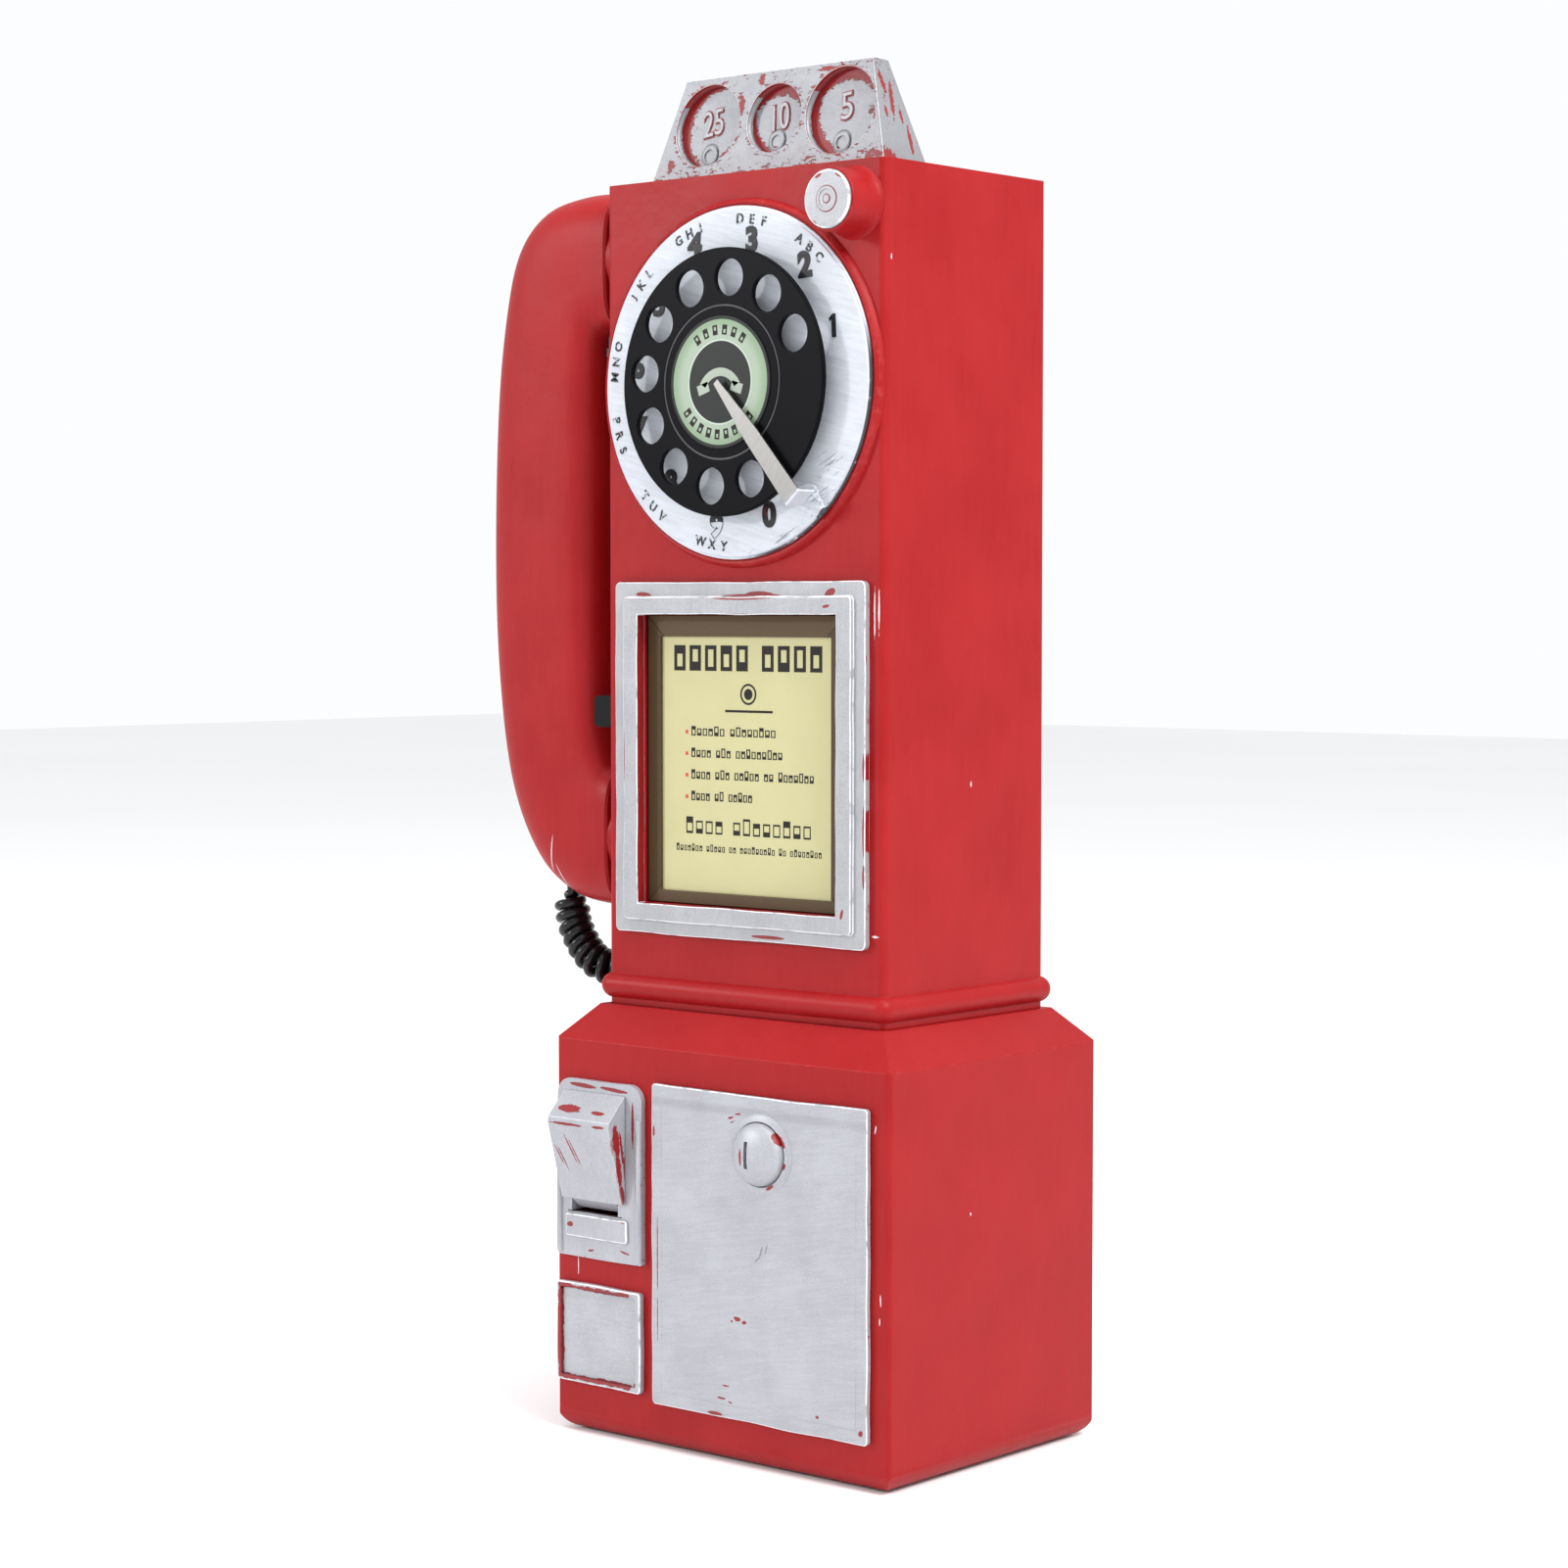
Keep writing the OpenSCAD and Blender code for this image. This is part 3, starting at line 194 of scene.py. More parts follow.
class Field:
    """A value that varies over a surface, so that a formula of them builds the nodes."""

    def __init__(self, shader, socket):
        self.shader = shader
        self.socket = socket

    def __add__(self, other):
        return self.shader.math("ADD", self, other)

    def __sub__(self, other):
        return self.shader.math("SUBTRACT", self, other)

    def __rsub__(self, other):
        return self.shader.math("SUBTRACT", other, self)

    def __mul__(self, other):
        return self.shader.math("MULTIPLY", self, other)

    __radd__ = __add__
    __rmul__ = __mul__


class Shader:
    """One material. Lengths are in millimetres, in the row frame."""

    def __init__(self, name, **sockets):
        self.material = bpy.data.materials.new(name)
        self.material.use_nodes = True
        self.tree = self.material.node_tree
        self.surface = self.tree.nodes["Principled BSDF"]
        self.place = self.node("ShaderNodeTexCoord").outputs["Object"]
        split = self.node("ShaderNodeSeparateXYZ")
        self.tree.links.new(self.place, split.inputs[0])
        self.x, self.y, self.z = (Field(self, socket) * (1 / MM) for socket in split.outputs)
        self.set(**sockets)

    def node(self, kind, **settings):
        made = self.tree.nodes.new(kind)
        for name, value in settings.items():
            setattr(made, name, value)
        return made

    def put(self, value, socket):
        """A varying value is linked to the socket, and a constant is set on it."""
        if isinstance(value, Field):
            self.tree.links.new(value.socket, socket)
        else:
            socket.default_value = value

    def set(self, **sockets):
        """Sets the surface's sockets by name, with _ for a space."""
        for name, value in sockets.items():
            self.put(value, self.surface.inputs[name.replace("_", " ")])

    def math(self, operation, a, b=0.0, c=0.0, clamp=False):
        made = self.node("ShaderNodeMath", operation=operation, use_clamp=clamp)
        for value, socket in zip((a, b, c), made.inputs):
            self.put(value, socket)
        return Field(self, made.outputs[0])

    def noise(self, size, detail=3, rough=0.55, stretch=(1, 1, 1), turn=(0, 0, 0), seed=0, warp=0.0):
        """Cloudy noise from 0 to 1, in lumps about size across, drawn out by stretch along turned axes."""
        mapping = self.node("ShaderNodeMapping", vector_type="TEXTURE")
        self.tree.links.new(self.place, mapping.inputs["Vector"])
        mapping.inputs["Location"].default_value = (0.37 * seed, 0.11 * seed, 0.23 * seed)
        mapping.inputs["Rotation"].default_value = [math.radians(angle) for angle in turn]
        mapping.inputs["Scale"].default_value = [size * MM * factor for factor in stretch]
        cloud = self.node("ShaderNodeTexNoise")
        self.tree.links.new(mapping.outputs[0], cloud.inputs["Vector"])
        cloud.inputs["Scale"].default_value = 1
        cloud.inputs["Detail"].default_value = detail
        cloud.inputs["Roughness"].default_value = rough
        cloud.inputs["Distortion"].default_value = warp
        return Field(self, cloud.outputs["Fac"])

    def step(self, value, low, high):
        """Rises smoothly from 0 where value is low to 1 where it is high. It falls if high is under low."""
        ramp = self.node("ShaderNodeMapRange", interpolation_type="SMOOTHSTEP", clamp=True)
        self.put(value, ramp.inputs["Value"])
        if high < low:
            low, high, start, end = high, low, 1, 0
        else:
            start, end = 0, 1
        for name, number in (("From Min", low), ("From Max", high), ("To Min", start), ("To Max", end)):
            ramp.inputs[name].default_value = number
        return Field(self, ramp.outputs["Result"])

    def least(self, first, *others):
        for other in others:
            first = self.math("MINIMUM", first, other)
        return first

    def most(self, first, *others):
        for other in others:
            first = self.math("MAXIMUM", first, other)
        return first

    def mix(self, factor, a, b):
        """Colour a where factor is 0 and b where it is 1."""
        made = self.node("ShaderNodeMix", data_type="RGBA")
        self.put(factor, made.inputs[0])
        self.put(a if isinstance(a, Field) else (*a, 1), made.inputs[6])
        self.put(b if isinstance(b, Field) else (*b, 1), made.inputs[7])
        return Field(self, made.outputs[2])

    def blend(self, factor, a, b):
        """The number a where factor is 0 and b where it is 1."""
        return factor * (b - a) + a

    def edge_distance(self, low, high):
        """Distance in x and z to the nearest side of the rectangle from low to high, positive inside."""
        return self.least(self.x - low[0], high[0] - self.x, self.z - low[1], high[1] - self.z)

    def patch(self, x, z, half_x, half_z, angle=0, side=False):
        """1 at the middle of an ellipse, 0 at its rim and under 0 outside. On a side, y takes x's place."""
        turn = math.radians(angle)
        run = (self.y if side else self.x) - x
        rise = self.z - z
        across = run * (math.cos(turn) / half_x) + rise * (math.sin(turn) / half_x)
        along = rise * (math.cos(turn) / half_z) - run * (math.sin(turn) / half_z)
        return 1 - self.math("SQRT", across * across + along * along)

    def radius(self, centre):
        """Distance in x and z from a point."""
        across = self.x - centre[0]
        up = self.z - centre[1]
        return self.math("SQRT", across * across + up * up)

    def bump(self, height):
        """Raises the surface by height, in millimetres."""
        made = self.node("ShaderNodeBump")
        made.inputs["Distance"].default_value = MM
        self.put(height, made.inputs["Height"])
        self.tree.links.new(made.outputs[0], self.surface.inputs["Normal"])


# ---- Materials ----

RED = (0.26, 0.004, 0.0055)
DEEP_RED = (0.15, 0.003, 0.005)
CHALKY_RED = (0.38, 0.05, 0.052)
GREY_SILVER = (0.32, 0.325, 0.342)
DULL_SILVER = (0.265, 0.27, 0.287)
PALE_SILVER = (0.345, 0.35, 0.376)
BRIGHT_SILVER = (0.66, 0.67, 0.69)
PLATE_WHITE = (0.485, 0.51, 0.56)
WHEEL_BLACK = (0.003, 0.003, 0.004)
RING_GREEN = (0.195, 0.275, 0.175)
PALE_GREEN = (0.31, 0.375, 0.295)


def scaled(colour, factor):
    return tuple(factor * part for part in colour)


def ragged(paint, size=2.4, seed=0, stretch=(1, 1, 1), turn=(0, 0, 0)):
    """Noise with a torn outline, from about -1 to 1."""
    return (paint.noise(size, detail=6, rough=0.68, stretch=stretch, turn=turn, seed=seed) - 0.5) * 3


def marks(paint, places, torn, cover=1.6, tear=0.5):
    """Over 0 inside ellipses with torn outlines. A place is (x, z, half width, half height, angle)."""
    value = paint.patch(*places[0])
    for place in places[1:]:
        value = paint.most(value, paint.patch(*place))
    return value * cover + torn * tear


def red_paint(name, edge=False, seed=0, smears=None):
    """Satin enamel, brushed by hand over a casting. The edges are chalky where they have rubbed."""
    paint = Shader(name)
    cloud = paint.noise(34, detail=4, seed=seed)
    strokes = paint.noise(2.2, detail=3, stretch=(1, 1, 9), seed=seed + 1)
    grain = paint.noise(0.9, detail=2, seed=seed + 2)
    shade = paint.step(cloud * 0.7 + strokes * 0.3, 0.3, 0.72)
    colour = paint.mix(shade, RED, tuple(1.14 * part + 0.004 for part in RED))
    rubs = paint.noise(3.5, detail=5, rough=0.7, seed=seed + 3)
    worn = paint.step(rubs, 0.50 if edge else 0.70, 0.72 if edge else 0.80) * (0.5 if edge else 0.22)
    colour = paint.mix(worn, colour, CHALKY_RED)
    height = cloud * 0.7 + strokes * 0.05 + grain * 0.02
    if smears:
        smeared = smears(paint)
        colour = paint.mix(smeared, colour, BRIGHT_SILVER)
        height = height + smeared * 0.05
    paint.set(Base_Color=colour, Roughness=paint.blend(shade, 0.40, 0.50) + worn * 0.2)
    paint.set(Specular_IOR_Level=0.17)
    paint.bump(height)
    return paint.material


def silver_paint(name, tone, worn=None, painted_shade_and_marks=None, strokes=(0, 0, 0), seed=0):
    """Silver paint brushed over red. worn says where red shows, and the fourth argument where the silver is
    painted darker, as painted shade and as grey marks.
    """
    paint = Shader(name)
    cloud = paint.noise(16, detail=4, seed=seed)
    hairs = paint.noise(0.8, detail=3, rough=0.6, stretch=(1, 1, 14), turn=strokes, seed=seed + 1)
    flakes = paint.noise(0.45, detail=2, rough=0.7, seed=seed + 2)
    shade = paint.step(cloud * 0.3 + hairs * 0.2 + flakes * 0.5, 0.36, 0.64)
    colour = paint.mix(shade, scaled(tone, 0.86), scaled(tone, 1.12))
    roughness = paint.blend(flakes, 0.36, 0.54)
    metal = paint.blend(cloud, 0.26, 0.36)
    height = cloud * 0.5 + hairs * 0.03 + flakes * 0.08
    # The fourth argument paints the silver darker: painted shade, and also grey scratches and outlines.
    if painted_shade_and_marks:
        shade_and_mark_mask = painted_shade_and_marks(paint)
        colour = paint.mix(shade_and_mark_mask, colour, scaled(tone, 0.45))
        height = height - shade_and_mark_mask * 0.1
        metal = metal * (1 - shade_and_mark_mask * 0.8)
    if worn:
        bare = paint.step(worn(paint), 0.0, 0.14)
        colour = paint.mix(bare, colour, paint.mix(cloud, DEEP_RED, RED))
        metal = metal * (1 - bare)
        height = height - bare * 0.12
    paint.set(Base_Color=colour, Roughness=roughness, Metallic=metal)
    paint.bump(height)
    return paint.material


def silver_edge():
    """The ridges of the silver castings, painted paler than the faces as a painted highlight, with red in the
    deepest nicks.
    """
    paint = Shader("silver_ridge_painted_highlight")
    nicks = ragged(paint, 1.8, seed=61)
    cloud = paint.noise(5, detail=4, seed=62)
    # Painted highlight: the rounded edges are painted paler silver than the faces.
    colour = paint.mix(paint.step(cloud, 0.30, 0.50), GREY_SILVER, BRIGHT_SILVER)
    bare = paint.step(nicks, 0.62, 0.74)
    paint.set(Base_Color=paint.mix(bare, colour, RED), Roughness=paint.blend(cloud, 0.30, 0.44))
    paint.set(Metallic=0.2 - bare * 0.2)
    paint.bump(nicks * 0.05)
    return paint.material


def near_edge(paint, low, high, reach, torn, amount=0.0):
    """Over 0 in a torn band inside the sides of a rectangle."""
    near = 1 - paint.edge_distance(low, high) * (1 / reach)
    return near * 0.55 + torn - (0.95 - amount)


def coin_head_depth(paint):
    """Depth behind the coin head's leaning front, in millimetres."""
    return paint.y - HEAD_FOOT_Y - (paint.z - HEAD_FOOT_Z) * math.tan(HEAD_LEAN)


def coin_head_wear(paint):
    fine = ragged(paint, 1.0, seed=31, stretch=(2.2, 1, 1))
    coarse = ragged(paint, 5, seed=32)
    edges = paint.step(paint.z, 443, 434) * 0.52 + paint.step(paint.z, 465, 470) * 0.3
    flecks = fine + coarse * 0.8 - 0.62
    value = flecks + edges
    depth = coin_head_depth(paint)
    wall = paint.step(depth, 0.2, 0.5) * paint.step(paint.z, COIN_Z + 9, COIN_Z + 6)
    for x, radius in COIN_RECESS:
        rim = paint.math("ABSOLUTE", paint.radius((x, COIN_Z)) - radius)
        value = paint.most(value, paint.step(rim, 3.2, 0.4) * 0.42 + fine - 0.55)
    for x, radius, shift_x, shift_z, thick in COIN_CRESCENTS:
        inside = paint.step(paint.radius((x, COIN_Z)), radius - 0.1, radius + 0.2) * 4
        away = paint.least(paint.radius((x + shift_x, COIN_Z + shift_z)) - (radius - thick), 4)
        value = paint.most(value, away * 0.45 + fine - 0.12 - inside)
    value = value - wall * paint.step(depth, 2.9, 2.7) * 3
    value = paint.most(value, marks(paint, COIN_HEAD_MARKS, fine, cover=1.1, tear=1.1))
    value = paint.most(value - paint.step(depth, 4.5, 5.5) * 4, flecks)
    side = marks_on_side(paint, COIN_HEAD_SIDE_MARKS, fine, tear=1.3) - paint.step(paint.x, 40, 38) * 4
    return paint.most(value, side)


def marks_on_side(paint, places, torn, cover=1.4, tear=0.8):
    """As marks, on a face that looks along X: a place is (y, z, half width, half height, angle)."""
    value = paint.patch(*places[0], side=True)
    for place in places[1:]:
        value = paint.most(value, paint.patch(*place, side=True))
    return value * cover + torn * tear


def coin_head_painted_shade(paint):
    """The dark outlines of the small rings at the foot of each recess, and painted shade on the right side
    face.
    """
    # Painted shade: the right side face of the coin head is darkened.
    value = paint.step(paint.x + (paint.z - HEAD_FOOT_Z) * HEAD_SIDE_LEAN, 51.5, 51.8) * 0.3
    front = paint.step(coin_head_depth(paint), 5.5, 4.5) * 0.9
    for x, radius in COIN_RECESS:
        ring = paint.math("ABSOLUTE", paint.radius((x, COIN_Z + (4.6 - radius) * math.cos(HEAD_LEAN))) - 3.55)
        value = paint.most(paint.step(ring, 0.42, 0.18) * front, value)
    return value


def frame_wear(paint):
    torn = ragged(paint, 2.6, seed=41, stretch=(2, 1, 2))
    opening = paint.edge_distance(*CARD_OPENING)
    wall = paint.step(opening, -0.28, -0.05) * 3 - 1 + torn * 0.4
    outside = near_edge(paint, (-56, 176), (56, 297), 1.4, torn, amount=0.1)
    return paint.most(wall, outside, marks(paint, FRAME_MARKS, torn, tear=0.25))


def door_wear(paint):
    torn = ragged(paint, 1.6, seed=51, stretch=(1.5, 1, 1))
    edge = near_edge(paint, (-27.5, 16), (67.5, 126), 0.8, torn, amount=0.05)
    return paint.most(edge, marks(paint, DOOR_MARKS, torn, tear=0.9))


def door_painted_shade_and_scratches(paint):
    """Painted shade in the crease under the door's top edge, a faint line inside its rim, and a few grey
    scratches.
    """
    cloud = paint.noise(9, detail=3, stretch=(3, 1, 1), seed=52)
    # Painted shade along the crease under the door's top edge.
    crease = paint.step(paint.math("ABSOLUTE", paint.z - 120.3), 2.4, 0.4) * paint.blend(cloud, 0.1, 0.75)
    line = paint.step(paint.math("ABSOLUTE", paint.edge_distance((-27.5, 16), (67.5, 126)) - 4.6), 0.35, 0.05)
    torn = ragged(paint, 0.8, seed=53)
    scratches = paint.step(marks(paint, DOOR_SCRATCHES, torn, tear=0.8), 0.0, 0.2)
    return paint.most(crease * 0.6, line * paint.step(cloud, 0.35, 0.6) * 0.3, scratches * 0.8)


def escutcheon_wear(paint):
    torn = ragged(paint, 1.8, seed=71, stretch=(2, 1, 1))
    edge = near_edge(paint, (-72.5, 62.5), (-32.5, 124.5), 1.3, torn, amount=0.12)
    return paint.most(edge, marks(paint, ESCUTCHEON_MARKS, torn, tear=0.45))


def hood_wear(paint):
    torn = ragged(paint, 1.1, seed=81, stretch=(3, 1, 1))
    scratch = ragged(paint, 0.9, seed=82, stretch=(1, 1, 5), turn=(0, 25, 0))
    front = marks(paint, HOOD_MARKS, torn, tear=0.8)
    side = marks_on_side(paint, HOOD_SIDE_MARKS, scratch) - paint.step(paint.x, -40.3, -40.6) * 4
    return paint.most(front, side)


def sill_wear(paint):
    places = ((-65.5, 73.6, 1.5, 0.9, 10), (-40.2, 77.2, 1.6, 0.7, 0))
    return marks(paint, places, ragged(paint, 1.5, seed=84))


def cover_wear(paint):
    torn = ragged(paint, 1.9, seed=91, stretch=(2, 1, 2))
    inner = paint.math("ABSOLUTE", paint.edge_distance((-72.8, 18), (-33, 53.2)) - 1.7)
    right = paint.step(paint.x, -39, -36) * 1.5
    line = 0.85 - inner * 1.0 + torn * 0.9 - right
    return paint.most(line, marks(paint, COVER_MARKS, torn, tear=0.4))


def lock_wear(paint):
    torn = ragged(paint, 1.2, seed=95)
    return marks(paint, [(31.0, 112.8, 0.9, 3.2, 40), (32.8, 104, 0.5, 1.4, -20), (17.6, 106.2, 0.6, 3.0, 0),
                         (26.5, 96.3, 2.0, 0.5, 30)], torn, tear=0.6)


def button_wear(paint):
    places = ((46, 427.6, 1.4, 0.6, 20), (54.5, 427.2, 1.6, 0.5, -30), (44.5, 412.5, 1.0, 0.5, -40))
    return marks(paint, places, ragged(paint, 1.1, seed=97), tear=0.6)


def cabinet_smears(paint):
    """Silver that the brush left on the red: beside the card frame, beside the door, and a few flecks."""
    torn = ragged(paint, 1.4, seed=101, stretch=(1, 1, 3))
    front = marks(paint, FRONT_SMEARS, torn, tear=1.0) + paint.step(paint.y, -40, -42) * 3 - 3
    side = marks_on_side(paint, SIDE_SMEARS, torn) - paint.step(paint.x, 61.5, 60) * 4
    return paint.step(paint.most(front, side), 0.0, 0.2) * 0.85


def handset_smears(paint):
    torn = ragged(paint, 1.0, seed=105)
    return paint.step(marks(paint, HANDSET_SCRATCHES, torn, tear=0.7), 0.0, 0.25) * 0.6


def plate_white():
    """White brushed over the number plate, thin in places, with grey streaks by the finger stop's foot, and a
    painted shadow line at its rim on the lower right.
    """
    paint = Shader("plate_brushed_white")
    strokes = paint.noise(1.1, detail=4, rough=0.62, stretch=(11, 1, 1), turn=(0, 14, 0), seed=111)
    cloud = paint.noise(13, detail=4, seed=112)
    shade = paint.step(strokes * 0.62 + cloud * 0.38, 0.30, 0.68)
    colour = paint.mix(shade, scaled(PLATE_WHITE, 0.87), scaled(PLATE_WHITE, 1.09))
    scrapes = ragged(paint, 0.55, seed=113, stretch=(14, 1, 1), turn=(0, -28, 0))
    grey = paint.step(marks(paint, PLATE_STREAKS, scrapes, cover=0.7, tear=1.5), 0.62, 0.95)
    colour = paint.mix(grey * 0.7, colour, (0.10, 0.11, 0.13))
    # Painted shadow: a thin near-black line at the plate's rim, on its lower right.
    rim = paint.step(paint.radius((0, DIAL_Z)), 58.2, 58.5)
    shadowed_low_right = paint.step(paint.x - (paint.z - DIAL_Z) * 0.7, 40, 56)
    torn = ragged(paint, 3.0, seed=114)
    colour = paint.mix(rim * shadowed_low_right * paint.step(torn, -0.55, -0.2), colour, (0.03, 0.03, 0.035))
    paint.set(Base_Color=colour, Roughness=paint.blend(shade, 0.42, 0.55))
    paint.bump(strokes * 0.10 + cloud * 0.25 - grey * 0.08)
    return paint.material


def wheel_black():
    """Satin black disc with dust and a thin pale line scribed round its middle."""
    paint = Shader("wheel_satin_black", Specular_IOR_Level=0.05)
    cloud = paint.noise(12, detail=4, seed=121)
    dust = paint.step(paint.noise(0.5, detail=4, rough=0.75, seed=122), 0.70, 0.77)
    ring = paint.step(paint.math("ABSOLUTE", paint.radius((0, DIAL_Z)) - 25.55), 0.38, 0.26)
    colour = paint.mix(cloud, WHEEL_BLACK, scaled(WHEEL_BLACK, 1.5))
    colour = paint.mix(dust * 0.3, colour, (0.4, 0.4, 0.42))
    colour = paint.mix(ring * paint.blend(cloud, 0.5, 0.9), colour, (0.15, 0.15, 0.16))
    paint.set(Base_Color=colour, Roughness=paint.blend(cloud, 0.33, 0.45))
    paint.bump(paint.noise(0.7, detail=2, seed=123) * 0.012)
    return paint.material


def dial_card_print():
    """Printed card in the wheel's middle: a green ring, paler towards the middle of its width, on black."""
    paint = Shader("dial_card_print", Roughness=0.42, Specular_IOR_Level=0.2)
    out = paint.radius((0, DIAL_Z))
    fibres = paint.noise(0.6, detail=3, seed=131)
    across = paint.step(paint.math("ABSOLUTE", out - 15.4), 5.2, 0.6)
    cloud = paint.noise(11, detail=2, seed=132)
    green = paint.mix(across * 0.8 + cloud * 0.2, RING_GREEN, PALE_GREEN)
    rim = paint.step(paint.math("ABSOLUTE", out - 13.95), 0.35, 0.15)
    green = paint.mix(rim * 0.7, green, (0.50, 0.56, 0.50))
    inside = paint.step(out, 13.6, 13.75) * paint.step(out, 20.95, 20.8)
    black = paint.mix(fibres, (0.010, 0.012, 0.011), (0.018, 0.021, 0.019))
    paint.set(Base_Color=paint.mix(inside, black, green))
    paint.bump(fibres * 0.01)
    return paint.material


def bezel_brown():
    """Brown moulding whose four sides meet in mitres; the top and bottom are painted a little lighter than
    the sides, as painted light.
    """
    paint = Shader("bezel_mitred", Specular_IOR_Level=0.25)
    x_gap = paint.math("ABSOLUTE", paint.x)
    z_gap = paint.math("ABSOLUTE", paint.z - (CARD_OPENING[0][1] + CARD_OPENING[1][1]) / 2)
    past = (x_gap - CARD_HALF_W) - (z_gap - CARD_HALF_H)
    mitre = paint.step(paint.math("ABSOLUTE", past), 0.3, 0.1)
    grain = paint.noise(0.9, detail=3, seed=141)
    # Painted light: the top and bottom strips are lighter than the left and right ones.
    lit = paint.mix(paint.step(past, -0.1, 0.1), (0.082, 0.051, 0.023), (0.062, 0.038, 0.016))
    colour = paint.mix(grain * 0.4, lit, (0.05, 0.03, 0.014))
    colour = paint.mix(mitre * 0.8, colour, (0.015, 0.009, 0.005))
    paint.set(Base_Color=colour, Roughness=paint.blend(grain, 0.36, 0.5))
    paint.bump(grain * 0.02 - mitre * 0.1)
    return paint.material


def painted_ink():
    """Black paint on the plate's raised figures, with white brushed over it and red underneath in places."""
    paint = Shader("painted_ink", Specular_IOR_Level=0.25)
    torn = ragged(paint, 1.5, seed=151)
    tint = ragged(paint, 7.0, seed=152)
    colour = paint.mix(paint.step(tint, 0.35, 0.7) * 0.7, (0.010, 0.010, 0.012), (0.20, 0.012, 0.016))
    colour = paint.mix(paint.step(torn, 0.76, 0.86), colour, PLATE_WHITE)
    paint.set(Base_Color=colour, Roughness=paint.blend(paint.noise(2, seed=153), 0.3, 0.5))
    paint.bump(torn * 0.03)
    return paint.material


def faded_ink():
    """As painted_ink, with much more of it brushed over."""
    paint = Shader("faded_ink", Specular_IOR_Level=0.25)
    torn = ragged(paint, 1.3, seed=155)
    colour = paint.mix(paint.step(torn, 0.18, 0.30), (0.016, 0.014, 0.016), PLATE_WHITE)
    paint.set(Base_Color=colour, Roughness=paint.blend(paint.noise(2, seed=156), 0.35, 0.5))
    paint.bump(torn * 0.02)
    return paint.material


def figure_outline():
    """Dark red in the groove round the coin head's figures, broken by silver: the red undercoat, darkened as
    painted shade of the groove.
    """
    paint = Shader("figure_outline", Metallic=0.0)
    torn = ragged(paint, 1.4, seed=158)
    # Painted shade: the red round the figures is darker than the red paint.
    colour = paint.mix(paint.step(torn, 0.25, 0.4), (0.20, 0.010, 0.014), GREY_SILVER)
    paint.set(Base_Color=colour, Roughness=paint.blend(paint.noise(2, seed=159), 0.4, 0.55))
    paint.bump(torn * 0.04)
    return paint.material


def plain_metal(name, colour, roughness, metallic=1.0, grain=(1, 1, 14), size=0.7, depth=0.01, seed=0):
    """Metal with fine rolled or brushed lines and cloudy shade."""
    metal = Shader(name, Metallic=metallic)
    lines = metal.noise(size, detail=3, stretch=grain, seed=seed)
    cloud = metal.noise(18, detail=4, seed=seed + 1)
    shade = lines * 0.45 + cloud * 0.55
    dark = scaled(colour, 0.78)
    metal.set(Base_Color=metal.mix(metal.step(shade, 0.3, 0.7), dark, colour))
    metal.set(Roughness=metal.blend(lines, roughness - 0.07, roughness + 0.1))
    metal.bump(lines * depth + cloud * 0.02)
    return metal.material


def stop_steel():
    """Plain steel, with the plate's white brushed over the foot."""
    metal = Shader("stop_steel")
    lines = metal.noise(0.7, detail=3, stretch=(1, 1, 12), turn=(0, 40, 0), seed=6)
    torn = ragged(metal, 1.4, seed=7)
    white = metal.step(metal.radius((0, DIAL_Z)) + torn, 50.8, 51.3)
    steel = metal.mix(lines, (0.27, 0.26, 0.25), (0.36, 0.35, 0.34))
    metal.set(Base_Color=metal.mix(white, steel, PLATE_WHITE))
    metal.set(Metallic=1 - white, Roughness=metal.blend(white, 0.3, 0.5))
    metal.bump(lines * 0.02 + white * 0.15)
    return metal.material


def moulded(name, colour, roughness, depth=0.02, specks=0.0, seed=0, gloss=0.5):
    """Moulded plastic, rubber or card with a fine grain and a little dust."""
    stuff = Shader(name, Specular_IOR_Level=gloss)
    grain = stuff.noise(0.5, detail=2, seed=seed)
    cloud = stuff.noise(14, detail=4, seed=seed + 1)
    dark = scaled(colour, 0.88)
    shade = stuff.mix(cloud, dark, colour)
    if specks:
        dust = stuff.noise(0.55, detail=4, rough=0.75, seed=seed + 2)
        shade = stuff.mix(stuff.step(dust, 0.70, 0.76) * specks, shade, (0.5, 0.5, 0.5))
    stuff.set(Base_Color=shade, Roughness=stuff.blend(cloud, roughness - 0.05, roughness + 0.07))
    stuff.bump(grain * depth)
    return stuff.material


MATERIALS = {}


